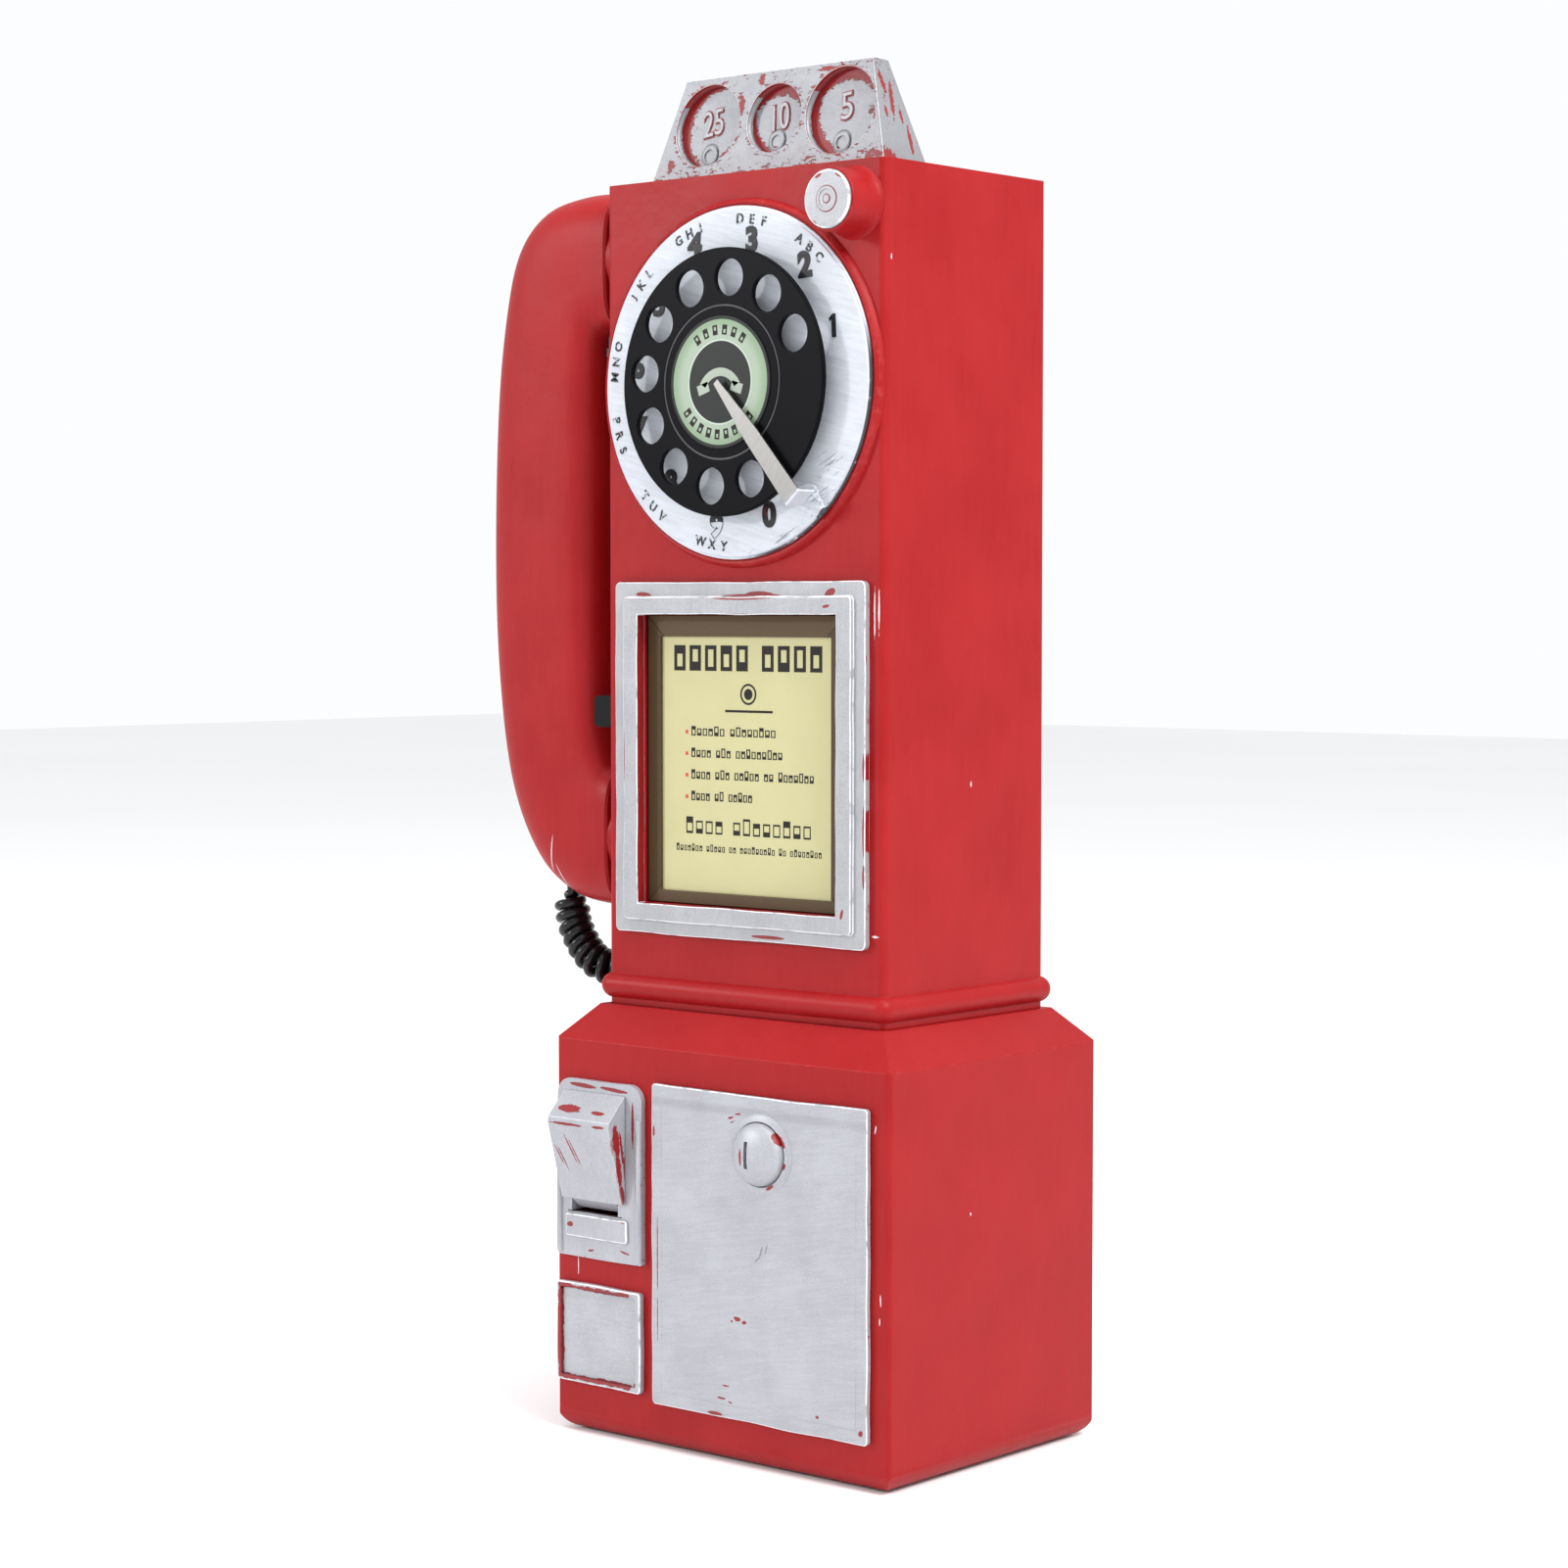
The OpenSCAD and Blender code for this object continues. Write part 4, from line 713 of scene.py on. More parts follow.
def make_materials():
    MATERIALS.update({
        "red_paint": red_paint("red_enamel"),
        "cabinet_red": red_paint("cabinet_enamel", smears=cabinet_smears),
        "handset_red": red_paint("handset_enamel", seed=2, smears=handset_smears),
        "red_edge": red_paint("red_enamel_edge", edge=True, seed=5),
        "silver_paint": silver_paint("silver_brushed", GREY_SILVER),
        "silver_edge": silver_edge(),
        "coin_head": silver_paint("silver_coin_head", DULL_SILVER, coin_head_wear, coin_head_painted_shade, seed=30),
        "card_frame": silver_paint("silver_card_frame", GREY_SILVER, frame_wear, seed=40),
        "vault_door": silver_paint("silver_vault_door", PALE_SILVER, door_wear, door_painted_shade_and_scratches,
                                   strokes=(0, 80, 0), seed=50),
        "lock_collar": silver_paint("silver_lock", PALE_SILVER, lock_wear, seed=94),
        "return_escutcheon": silver_paint("silver_escutcheon", PALE_SILVER, escutcheon_wear, seed=70),
        "return_scoop": silver_paint("silver_hood", PALE_SILVER, hood_wear, seed=80),
        "return_sill": silver_paint("silver_sill", PALE_SILVER, sill_wear, seed=83),
        "lower_cover": silver_paint("silver_cover", PALE_SILVER, cover_wear, strokes=(0, 85, 0), seed=90),
        "push_button": silver_paint("silver_button", GREY_SILVER, button_wear, seed=96),
        "figure_silver": silver_paint("silver_figures", GREY_SILVER, seed=98),
        "figure_outline": figure_outline(),
        "plate_white": plate_white(),
        "wheel_black": wheel_black(),
        "label_green": dial_card_print(),
        "card_cream": moulded("card_cream", (0.475, 0.445, 0.237), 0.55, depth=0.01, seed=4, gloss=0.3),
        "bezel_brown": bezel_brown(),
        "nickel": plain_metal("nickel", (0.66, 0.64, 0.60), 0.30, seed=7),
        "stop_steel": stop_steel(),
        "steel_sheet": plain_metal("steel_sheet", (0.56, 0.57, 0.58), 0.36, size=1.2, seed=8),
        "dark_steel": plain_metal("dark_steel", (0.055, 0.055, 0.06), 0.5, metallic=0.6, seed=9),
        "brass": plain_metal("brass", (0.78, 0.56, 0.24), 0.28, seed=10),
        "coil_wire": plain_metal("coil_wire", (0.50, 0.19, 0.07), 0.35, metallic=0.7, grain=(14, 14, 1),
                                 size=0.35, depth=0.08, seed=11),
        "phenolic": moulded("phenolic", (0.09, 0.035, 0.018), 0.38, seed=12),
        "cord_black": moulded("cord_black", (0.005, 0.005, 0.006), 0.24, depth=0.004, seed=13, gloss=0.3),
        "rubber_black": moulded("rubber_black", (0.008, 0.008, 0.008), 0.6, seed=14, gloss=0.1),
        "painted_ink": painted_ink(),
        "faded_ink": faded_ink(),
        "ink_black": moulded("ink_black", (0.012, 0.010, 0.008), 0.5, depth=0.01, seed=15, gloss=0.2),
        "ink_red": moulded("ink_red", (0.50, 0.03, 0.02), 0.5, depth=0.01, seed=16),
        "ink_green": moulded("ink_green", (0.30, 0.35, 0.28), 0.45, depth=0.01, seed=17),
    })


# ---- Mesh building ----

def piece(name, mesh, material, body, stands_for=()):
    """A mesh in the row frame as a piece of the object."""
    made = bpy.data.objects.new(name, mesh)
    bpy.context.scene.collection.objects.link(made)
    mesh.materials.clear()
    mesh.materials.append(material)
    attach(made, body)
    if stands_for:
        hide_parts(*stands_for)
    return made


def smooth(mesh, angle=40):
    for face in mesh.polygons:
        face.use_smooth = True
    mesh.set_sharp_from_angle(angle=math.radians(angle))


def cast(node, material, edge=0.8, rounds=3, edge_material=None, keep=None, wobble=0.0):
    """A copy of a CAD node with edges rounded by edge mm. keep says which edges, by their middle in mm.

    wobble is how far, in mm, the outline strays in x and z, as on a casting cleaned up by hand."""
    mesh = NODES[node].data.copy()
    shape = bmesh.new()
    shape.from_mesh(mesh)
    bmesh.ops.remove_doubles(shape, verts=shape.verts, dist=0.002 * MM)
    bmesh.ops.dissolve_limit(shape, angle_limit=math.radians(0.6), verts=shape.verts, edges=shape.edges)
    if wobble:
        for line in list(shape.edges):
            cuts = int(line.calc_length() / (5 * MM))
            if cuts and (line.verts[0].co - line.verts[1].co).cross(Vector((0, 1, 0))).length > 4 * MM:
                bmesh.ops.subdivide_edges(shape, edges=[line], cuts=cuts)
        for vert in shape.verts:
            flat = Vector((vert.co.x, 0, vert.co.z)) / (16 * MM)
            stray = noise.noise_vector(flat) * wobble * MM
            vert.co += Vector((stray.x, 0, stray.z))
    weight = shape.edges.layers.float.new("bevel_weight_edge")
    for line in shape.edges:
        place = (line.verts[0].co + line.verts[1].co) / (2 * MM)
        sharp = len(line.link_faces) == 2 and line.calc_face_angle() > math.radians(28)
        line[weight] = 1.0 if sharp and (keep is None or keep(place)) else 0.0
    shape.to_mesh(mesh)
    shape.free()
    made = piece(node + "_cast", mesh, material, body_of(node), [node])
    for face in mesh.polygons:
        face.use_smooth = True
    bevel = made.modifiers.new("rounding", "BEVEL")
    bevel.limit_method = "WEIGHT"
    bevel.width = edge * MM
    bevel.segments = rounds
    bevel.use_clamp_overlap = True
    if edge_material:
        mesh.materials.append(edge_material)
        bevel.material = 1
    made.modifiers.new("even shading", "WEIGHTED_NORMAL")
    return made


def lathe(profile, centre, sides=96):
    """A turned mesh about an axis along Y through centre. profile is (radius, y) in metres, front to back."""
    shape = bmesh.new()
    rings = []
    for radius, y in profile:
        if radius < 1e-7:
            rings.append([shape.verts.new((centre[0], y, centre[1]))])
            continue
        angles = [2 * math.pi * step / sides for step in range(sides)]
        rings.append([shape.verts.new((centre[0] + radius * math.cos(a), y, centre[1] + radius * math.sin(a)))
                      for a in angles])
    for inner, outer in zip(rings, rings[1:]):
        for step in range(sides):
            after = (step + 1) % sides
            corners = [inner[step % len(inner)], inner[after % len(inner)],
                       outer[after % len(outer)], outer[step % len(outer)]]
            shape.faces.new(list(dict.fromkeys(corners)))
    bmesh.ops.recalc_face_normals(shape, faces=shape.faces)
    mesh = bpy.data.meshes.new("turned")
    shape.to_mesh(mesh)
    shape.free()
    smooth(mesh)
    return mesh


# ---- Curly cord ----

CORD_ROUTE = [(-99, -24, 185), (-99, -24, 181), (-98, -24, 175), (-95, -24, 169.5), (-91, -24, 164.5),
              (-86.5, -23.5, 161), (-82, -21.5, 159), (-78, -18, 158.5), (-75.5, -13, 159.5),
              (-74.5, -7.5, 161.5), (-74, -2, 164), (-72, 3, 166.5), (-68, 6, 168)]
CORD_WIRE = 3.7
CORD_COIL = 13
CORD_PITCH = 4.0
TURN_POINTS = 18


def curve_point(points, index, share):
    """The point a share of the way from one point of a smooth route to the next."""
    a = points[max(index - 1, 0)]
    b = points[index]
    c = points[min(index + 1, len(points) - 1)]
    d = points[min(index + 2, len(points) - 1)]
    return 0.5 * (2 * b + share * (c - a) + share ** 2 * (2 * a - 5 * b + 4 * c - d)
                  + share ** 3 * (3 * b - a - 3 * c + d))


def even_route(points, gap):
    """Points a gap apart along a smooth route."""
    fine = [curve_point(points, i, s / 40) for i in range(len(points) - 1) for s in range(40)] + [points[-1]]
    lengths = [0.0]
    for before, after in zip(fine, fine[1:]):
        lengths.append(lengths[-1] + (after - before).length)
    count = round(lengths[-1] / gap)
    made, k = [], 0
    for step in range(count + 1):
        target = lengths[-1] * step / count
        while lengths[k + 1] < target and k < len(fine) - 2:
            k += 1
        share = (target - lengths[k]) / (lengths[k + 1] - lengths[k])
        made.append(fine[k].lerp(fine[k + 1], share))
    return made


def frames_along(points):
    """A pair of cross directions at each point that turn as little as they can."""
    tangents = [(points[min(i + 1, len(points) - 1)] - points[max(i - 1, 0)]).normalized()
                for i in range(len(points))]
    side = tangents[0].orthogonal().normalized()
    made = []
    for tangent in tangents:
        side = (side - tangent * side.dot(tangent)).normalized()
        made.append((side, tangent.cross(side)))
    return made


def tube(points, radius, sides=12):
    """A closed round bar along points."""
    shape = bmesh.new()
    rings = []
    for point, (side, up) in zip(points, frames_along(points)):
        rings.append([shape.verts.new(point + radius * (side * math.cos(a) + up * math.sin(a)))
                      for a in (2 * math.pi * k / sides for k in range(sides))])
    for ring, after in zip(rings, rings[1:]):
        for k in range(sides):
            shape.faces.new((ring[k], ring[(k + 1) % sides], after[(k + 1) % sides], after[k]))
    shape.faces.new(reversed(rings[0]))
    shape.faces.new(rings[-1])
    bmesh.ops.recalc_face_normals(shape, faces=shape.faces)
    mesh = bpy.data.meshes.new("tube")
    shape.to_mesh(mesh)
    shape.free()
    smooth(mesh, 60)
    return mesh


def helix(route):
    """The wire's centreline: straight out of the handset, round and round, and straight into the grommet."""
    core = even_route([Vector(p) * MM for p in route], CORD_PITCH * MM / TURN_POINTS)
    radius = (CORD_COIL - CORD_WIRE) / 2 * MM
    last = len(core) - 1
    wire = []
    for k, (point, (side, up)) in enumerate(zip(core, frames_along(core))):
        ends = min(k, last - k) / TURN_POINTS
        swing = radius * min(1, ends) ** 0.5
        angle = 2 * math.pi * k / TURN_POINTS
        wire.append(point + swing * (side * math.cos(angle) + up * math.sin(angle)))
    lead_in = [wire[0] + Vector((0, 0, h)) * MM for h in (8, 6, 4, 2)]
    way_out = (core[-1] - core[-3]).normalized()
    lead_out = [wire[-1] + way_out * h * MM for h in (1.5, 3, 4.5, 6)]
    return lead_in + wire + lead_out


def make_cord():
    path = helix(CORD_ROUTE)
    mesh = tube(path, CORD_WIRE / 2 * MM)
    length = sum((b - a).length for a, b in zip(path, path[1:]))
    made = bpy.data.objects.new("curly_cord", mesh)
    bpy.context.scene.collection.objects.link(made)
    mesh.materials.append(MATERIALS["cord_black"])
    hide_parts("handset_cord")
    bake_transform(made, "cabinet", "handset", start=path[-1], end=path[0])


# ---- Handset ----

HANDSET_OUTER = [(-68, 434), (-86, 434), (-104, 430), (-117, 418), (-124, 397), (-129, 362), (-131, 308),
                 (-129, 262), (-122, 223), (-108, 197), (-90, 185), (-68, 182)]
HANDSET_INNER = [(-68, 386), (-72, 386), (-75, 384), (-76.2, 379), (-76.6, 368), (-77, 344), (-77.2, 308),
                 (-77, 276), (-76.2, 252), (-74.5, 241), (-71.5, 234), (-68, 231)]
HANDSET_Y = -20
HANDSET_D = 38
HANDSET_STEPS = 8
HANDSET_SIDES = 80
# Squareness of the corners on the side of the hand's back and on the side of the grip
HANDSET_ROUND = 3.2
HANDSET_GRIP_ROUND = 4.5
RIM = 0.8
WELL_R = 15.2
WELL_Z = (410, 207)
WELL_DEPTH = 11


def shaped(value, squareness):
    return math.copysign(abs(value) ** (2 / squareness), value)


def handset_ring(outer, inner, inset=0.0):
    """One cross-section between a point of the outer outline and one of the inner, drawn in by inset."""
    mid = (outer + inner) / 2
    reach = (outer - inner).normalized() * ((outer - inner).length / 2 - inset)
    ring = []
    for step in range(HANDSET_SIDES):
        a = 2 * math.pi * step / HANDSET_SIDES
        squareness = HANDSET_ROUND if math.cos(a) > 0 else HANDSET_GRIP_ROUND
        flat = mid + reach * shaped(math.cos(a), squareness)
        across = (HANDSET_D / 2 - inset) * shaped(math.sin(a), squareness)
        ring.append(Vector((flat.x, HANDSET_Y + across, flat.y)))
    return ring


def handset_mesh():
    outer = [Vector(point) for point in HANDSET_OUTER]
    inner = [Vector(point) for point in HANDSET_INNER]
    spots = [(i, s / HANDSET_STEPS) for i in range(len(outer) - 1) for s in range(HANDSET_STEPS)]
    spots.append((len(outer) - 2, 1.0))
    rings = [handset_ring(curve_point(outer, i, u), curve_point(inner, i, u)) for i, u in spots]
    # A small round on the rim of each cup
    for end in (0, -1):
        edge = handset_ring(outer[end], inner[end], RIM)
        rings[end] = [point - Vector((RIM, 0, 0)) for point in rings[end]]
        rings.insert(0 if end == 0 else len(rings), edge)
    shape = bmesh.new()
    loops = [[shape.verts.new(point * MM) for point in ring] for ring in rings]
    for ring, after in zip(loops, loops[1:]):
        for k in range(HANDSET_SIDES):
            following = (k + 1) % HANDSET_SIDES
            shape.faces.new((ring[k], ring[following], after[following], after[k]))
    shape.faces.new(loops[0])
    shape.faces.new(loops[-1])
    bmesh.ops.recalc_face_normals(shape, faces=shape.faces)
    mesh = bpy.data.meshes.new("handset")
    shape.to_mesh(mesh)
    shape.free()
    return mesh


def bore_wells(mesh):
    """The mesh with a round well for the capsule in each cup."""
    block = bpy.data.objects.new("block", mesh)
    cutters = []
    for z in WELL_Z:
        shape = bmesh.new()
        turn = Matrix.Rotation(math.radians(90), 4, "Y")
        place = Matrix.Translation(Vector((HANDSET_OUTER[0][0], HANDSET_Y, z)) * MM) @ turn
        bmesh.ops.create_cone(shape, cap_ends=True, segments=64, radius1=WELL_R * MM, radius2=WELL_R * MM,
                              depth=2 * WELL_DEPTH * MM, matrix=place)
        cutter_mesh = bpy.data.meshes.new("well")
        shape.to_mesh(cutter_mesh)
        shape.free()
        cutters.append(bpy.data.objects.new("well", cutter_mesh))
    for made in (block, *cutters):
        bpy.context.scene.collection.objects.link(made)
    for cutter in cutters:
        cut = block.modifiers.new("well", "BOOLEAN")
        cut.operation = "DIFFERENCE"
        cut.solver = "EXACT"
        cut.object = cutter
    bored = bpy.data.meshes.new_from_object(block.evaluated_get(bpy.context.evaluated_depsgraph_get()))
    for made in (block, *cutters):
        bpy.data.objects.remove(made)
    return bored


def make_handset():
    mesh = bore_wells(handset_mesh())
    smooth(mesh, 35)
    piece("handset_shell", mesh, MATERIALS["handset_red"], body_of("handset_handle"),
          ["handset_handle"])
    for node in ("ear_cap", "mouth_cap"):
        cast(node, MATERIALS["red_paint"], edge=0.3, rounds=2)


# ---- Printed and raised marks ----

def facing(x, z, y):
    """Places a mark drawn in x and z, whose own y is its depth, on a plane that faces the front."""
    return Matrix.Translation(Vector((x * MM, y, z * MM)))


def turned(place, angle):
    """The place, turned anticlockwise as the viewer sees it."""
    return place @ Matrix.Rotation(-math.radians(angle), 4, "Y")


def prism(shape, outline, thick, place):
    """A closed slab with an outline in x and z, in mm, that stands thick mm proud."""
    front = [shape.verts.new(place @ (Vector((x, -thick, z)) * MM)) for x, z in outline]
    back = [shape.verts.new(place @ (Vector((x, 0.02, z)) * MM)) for x, z in outline]
    shape.faces.new(front)
    shape.faces.new(reversed(back))
    for k in range(len(outline)):
        after = (k + 1) % len(outline)
        shape.faces.new((front[k], front[after], back[after], back[k]))


def bar(shape, x0, z0, x1, z1, thick, place):
    prism(shape, [(x0, z0), (x1, z0), (x1, z1), (x0, z1)], thick, place)


def blank_letter(shape, width, height, stroke, gap_low, gap_high, thick, place):
    """An upright box that stands in for a letter, with a slot from gap_low to gap_high of its height."""
    left, right = -width / 2, width / 2
    low, high = -height / 2, height / 2
    bar(shape, left, low, left + stroke, high, thick, place)
    bar(shape, right - stroke, low, right, high, thick, place)
    bar(shape, left + stroke, low, right - stroke, low + height * gap_low, thick, place)
    bar(shape, left + stroke, low + height * gap_high, right - stroke, high, thick, place)


def ring_mark(shape, x, z, inner, outer, thick, place, sides=28):
    """A ring, in quarters so that each is a closed slab."""
    for quarter in range(4):
        angles = [math.radians(quarter * 90 + k * 360 / sides) for k in range(sides // 4 + 1)]
        outline = [(x + outer * math.cos(a), z + outer * math.sin(a)) for a in angles]
        outline += [(x + inner * math.cos(a), z + inner * math.sin(a)) for a in reversed(angles)]
        prism(shape, outline, thick, place)


def marks_piece(name, shape, material, node):
    bmesh.ops.recalc_face_normals(shape, faces=shape.faces)
    mesh = bpy.data.meshes.new(name)
    shape.to_mesh(mesh)
    shape.free()
    return piece(name, mesh, MATERIALS[material], body_of(node))


ONE = ((-0.1, -0.5), (0.12, -0.5), (0.12, 0.5), (-0.03, 0.5), (-0.24, 0.32), (-0.2, 0.2), (-0.1, 0.27))


def character(body, bold=0.0):
    """A character of the built-in font as a closed mesh, in x and y."""
    curve = bpy.data.curves.new("character", "FONT")
    curve.body = body
    curve.extrude = 0.5
    curve.offset = bold
    curve.resolution_u = 5
    holder = bpy.data.objects.new("character", curve)
    bpy.context.scene.collection.objects.link(holder)
    mesh = bpy.data.meshes.new_from_object(holder.evaluated_get(bpy.context.evaluated_depsgraph_get()))
    bpy.data.objects.remove(holder)
    bpy.data.curves.remove(curve)
    return mesh


def figure(shape, body, height, thick, place, bold=0.0, squeeze=1.0):
    """Adds a character height mm tall, its middle at the place, that stands thick mm proud."""
    mesh = character(body, bold)
    plain = character(body)
    low = Vector([min(vert.co[axis] for vert in plain.vertices) for axis in range(2)])
    high = Vector([max(vert.co[axis] for vert in plain.vertices) for axis in range(2)])
    scale = height / (high.y - low.y)
    for vert in mesh.vertices:
        x = (vert.co.x - (low.x + high.x) / 2) * scale * squeeze
        z = (vert.co.y - (low.y + high.y) / 2) * scale
        depth = -thick if vert.co.z > 0 else 0.02
        vert.co = place @ (Vector((x, depth, z)) * MM)
    shape.from_mesh(mesh)
    bpy.data.meshes.remove(mesh)
    bpy.data.meshes.remove(plain)


# ---- Dial ----

STOP_ANGLE = -49.3
DIGIT_HEIGHT = 7.7
# Each digit's radius and angle on the plate, and its tilt
ONE_PLACE = (47, 21, 3)
DIGITS = (("2", 49, 50, 4), ("3", 48, 80, 0), ("4", 50, 110, -4), ("5", 44, 140, 3),
          ("6", 44, 170, -2), ("7", 45, -162, -4), ("8", 43, -131, 3), ("9", 48, -99, -3), ("0", 47, -70, 2))
LETTER_HEIGHT = 3.1
LETTER_R = 54.6
LETTER_STEP = 5.6
# The telephone dial's letter groups and the angle of each one's middle
LETTER_GROUPS = (("ABC", 52), ("DEF", 81), ("GHI", 111), ("JKL", 140), ("MNO", 170), ("PRS", -163),
                 ("TUV", -132), ("WXY", -100))


def around_dial(radius, angle, y, turn):
    a = math.radians(angle)
    return turned(facing(DIAL.x / MM + radius * math.cos(a), DIAL_Z + radius * math.sin(a), y), turn)


def make_figures():
    shape = bmesh.new()
    radius, angle, tilt = ONE_PLACE
    outline = [(DIGIT_HEIGHT * x, DIGIT_HEIGHT * z) for x, z in ONE]
    prism(shape, outline, 0.3, around_dial(radius, angle, PLATE_Y, tilt))
    for body, radius, angle, tilt in DIGITS:
        figure(shape, body, DIGIT_HEIGHT, 0.3, around_dial(radius, angle, PLATE_Y, tilt), bold=0.055)
    marks_piece("dial_digits", shape, "painted_ink", "number_plate")
    shape = bmesh.new()
    for number, (group, middle_angle) in enumerate(LETTER_GROUPS):
        upper = middle_angle > 0
        for place, body in enumerate(group):
            angle = middle_angle + (1 - place if upper else place - 1) * LETTER_STEP
            turn = angle - 90 if upper else angle + 90
            wobble = 9 * noise.noise(Vector((number * 1.7, place * 2.3, 0.5)))
            spot = around_dial(LETTER_R, angle, PLATE_Y, turn + wobble)
            figure(shape, body, LETTER_HEIGHT, 0.2, spot, bold=0.02)
    marks_piece("dial_letters", shape, "faded_ink", "number_plate")


def make_dial_card_marks():
    """Blank boxes where the wheel's card has words, and a small handset in its middle."""
    shape = bmesh.new()
    for count, start, step in ((6, 125, -14), (9, 214, 13)):
        for number in range(count):
            angle = start + number * step
            place = around_dial(17.4, angle, DIAL_CARD_Y, angle - 90)
            slot = (0.18, 0.55) if number % 2 else (0.45, 0.82)
            blank_letter(shape, 2.1, 3.3, 0.55, *slot, 0.05, place)
    marks_piece("dial_card_marks", shape, "ink_black", "dial_card")
    shape = bmesh.new()
    place = facing(DIAL.x / MM, DIAL_Z + 0.6, DIAL_CARD_Y)
    bow = [math.radians(30 + k * 10) for k in range(13)]
    outline = [(10.2 * math.cos(a), 10.2 * math.sin(a) - 6) for a in bow]
    outline += [(7.4 * math.cos(a), 7.4 * math.sin(a) - 6) for a in reversed(bow)]
    prism(shape, outline, 0.05, place)
    for side in (-1, 1):
        pad = turned(place @ facing(side * 7.4, -2.6, 0), side * -18)
        bar(shape, -2.5, -1.7, 2.5, 1.7, 0.05, pad)
    marks_piece("dial_card_symbol", shape, "ink_green", "dial_card")


def make_stop_paint():
    """A daub of white paint over the finger stop's foot."""
    centre = around_dial(52.5, STOP_ANGLE, PLATE_Y, 0).translation
    shape = bmesh.new()
    bmesh.ops.create_icosphere(shape, subdivisions=4, radius=1)
    for vert in shape.verts:
        lump = 1 + 0.30 * noise.noise(vert.co * 1.7 + Vector((3, 1, 4)))
        spot = Vector((vert.co.x * 6.4 * lump, vert.co.y * 1.7 * lump, vert.co.z * 4.2 * lump)) * MM
        vert.co = centre + Matrix.Rotation(math.radians(40), 3, "Y") @ spot
    mesh = bpy.data.meshes.new("daub")
    shape.to_mesh(mesh)
    shape.free()
    smooth(mesh)
    piece("stop_paint", mesh, MATERIALS["plate_white"], body_of("number_plate"))


def make_dial():
    # Radius and rise from the column's front, in mm
    rises = ((61.9, -0.3), (61.6, 0.7), (61.0, 1.8), (60.3, 2.4), (59.6, 2.3), (59.15, 1.7), (59.1, -0.3),
             (61.9, -0.3))
    profile = [(radius * MM, COLUMN_FRONT - rise * MM) for radius, rise in rises]
    moulding = lathe(profile, (DIAL.x, DIAL.z), sides=160)
    piece("dial_moulding", moulding, MATERIALS["red_edge"], body_of("dial_collar"))
    cast("number_plate", MATERIALS["plate_white"], edge=0.5)
    cast("finger_wheel", MATERIALS["wheel_black"], edge=0.3)
    cast("finger_stop", MATERIALS["stop_steel"], edge=0.15, rounds=2)
    make_stop_paint()
    make_figures()
    make_dial_card_marks()


def make_lock_collar():
    """A low swelling round the lock."""
    low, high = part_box("lock_collar")
    centre = (low + high) / 2
    reach = (high.x - low.x) / 2
    # Distance in from the collar's rim and rise from the door, in mm
    rises = ((0, 0), (0, 0.1), (1.2, 0.2), (2.0, 0.85), (2.4, 1.0), (2.7, 0.7), (2.7, 0), (0, 0))
    profile = [(reach - inward * MM, high.y - rise * MM) for inward, rise in rises]
    collar = lathe(profile, (centre.x, centre.z))
    piece("lock_swelling", collar, MATERIALS["lock_collar"], body_of("lock_collar"),
          ["lock_collar"])


# ---- Card ----

def blank_line(shape, words, x0, x1, z, height, stroke, place, fill=0.76):
    """A row of blank boxes from x0 to x1, one for each letter of words, which holds the words' lengths."""
    pitch = (x1 - x0) / (sum(words) + 0.8 * (len(words) - 1))
    x = x0
    for number, length in enumerate(words):
        for letter in range(length):
            tall = height if (letter * 5 + number * 3) % 4 else height * 1.3
            middle_x = x + pitch / 2
            slot = ((0.14, 0.62), (0.38, 0.86), (0.14, 0.86))[(letter + number) % 3]
            spot = place @ facing(middle_x, z + (tall - height) / 2, 0)
            blank_letter(shape, pitch * fill, tall, stroke, *slot, 0.05, spot)
            x += pitch
        x += 0.8 * pitch


def make_card_print():
    place = facing(0, 0, CARD_Y)
    shape = bmesh.new()
    for x0, count in ((-33.3, 5), (6.6, 4)):
        for letter in range(count):
            slot = ((0.16, 0.66), (0.36, 0.84), (0.16, 0.84))[letter % 3]
            spot = place @ facing(x0 + 3.1 + letter * 7.1, 271.1, 0)
            blank_letter(shape, 5.2, 8.7, 1.35, *slot, 0.06, spot)
    ring_mark(shape, 1.0, 259, 2.9, 3.6, 0.06, place)
    ring_mark(shape, 1.0, 259, 0.02, 1.9, 0.06, place)
    bar(shape, -9.4, 252.8, 11.9, 253.6, 0.06, place)
    # Each row's height, its words' lengths and its end
    rows = ((245.8, (6, 8), 13.4), (238.4, (4, 3, 9), 16.4), (231.0, (4, 3, 5, 2, 7), 30.2),
            (223.6, (4, 2, 5), 2.9))
    for z, words, x1 in rows:
        blank_line(shape, words, -25.2, x1, z, 2.5, 0.45, place)
    blank_line(shape, (4, 8), -28, 29.3, 213.2, 4.4, 0.42, place, fill=0.7)
    blank_line(shape, (7, 5, 2, 9, 2, 8), -32.1, 33.6, 205.9, 1.9, 0.32, place, fill=0.68)
    marks_piece("card_print", shape, "ink_black", "notice_card")
    shape = bmesh.new()
    for row in rows:
        bar(shape, -27.6, row[0] - 0.6, -26.4, row[0] + 0.6, 0.06, place)
    marks_piece("card_bullets", shape, "ink_red", "notice_card")


# ---- Coin head and button marks ----

FIGURE_HEIGHT = 9.4
FIGURE_TILT = 8
FIGURES = (("25", 0, 1.8, 0.72), ("10", 0.6, 1.2, 0.7), ("5", 0.5, 2.2, 0.9))


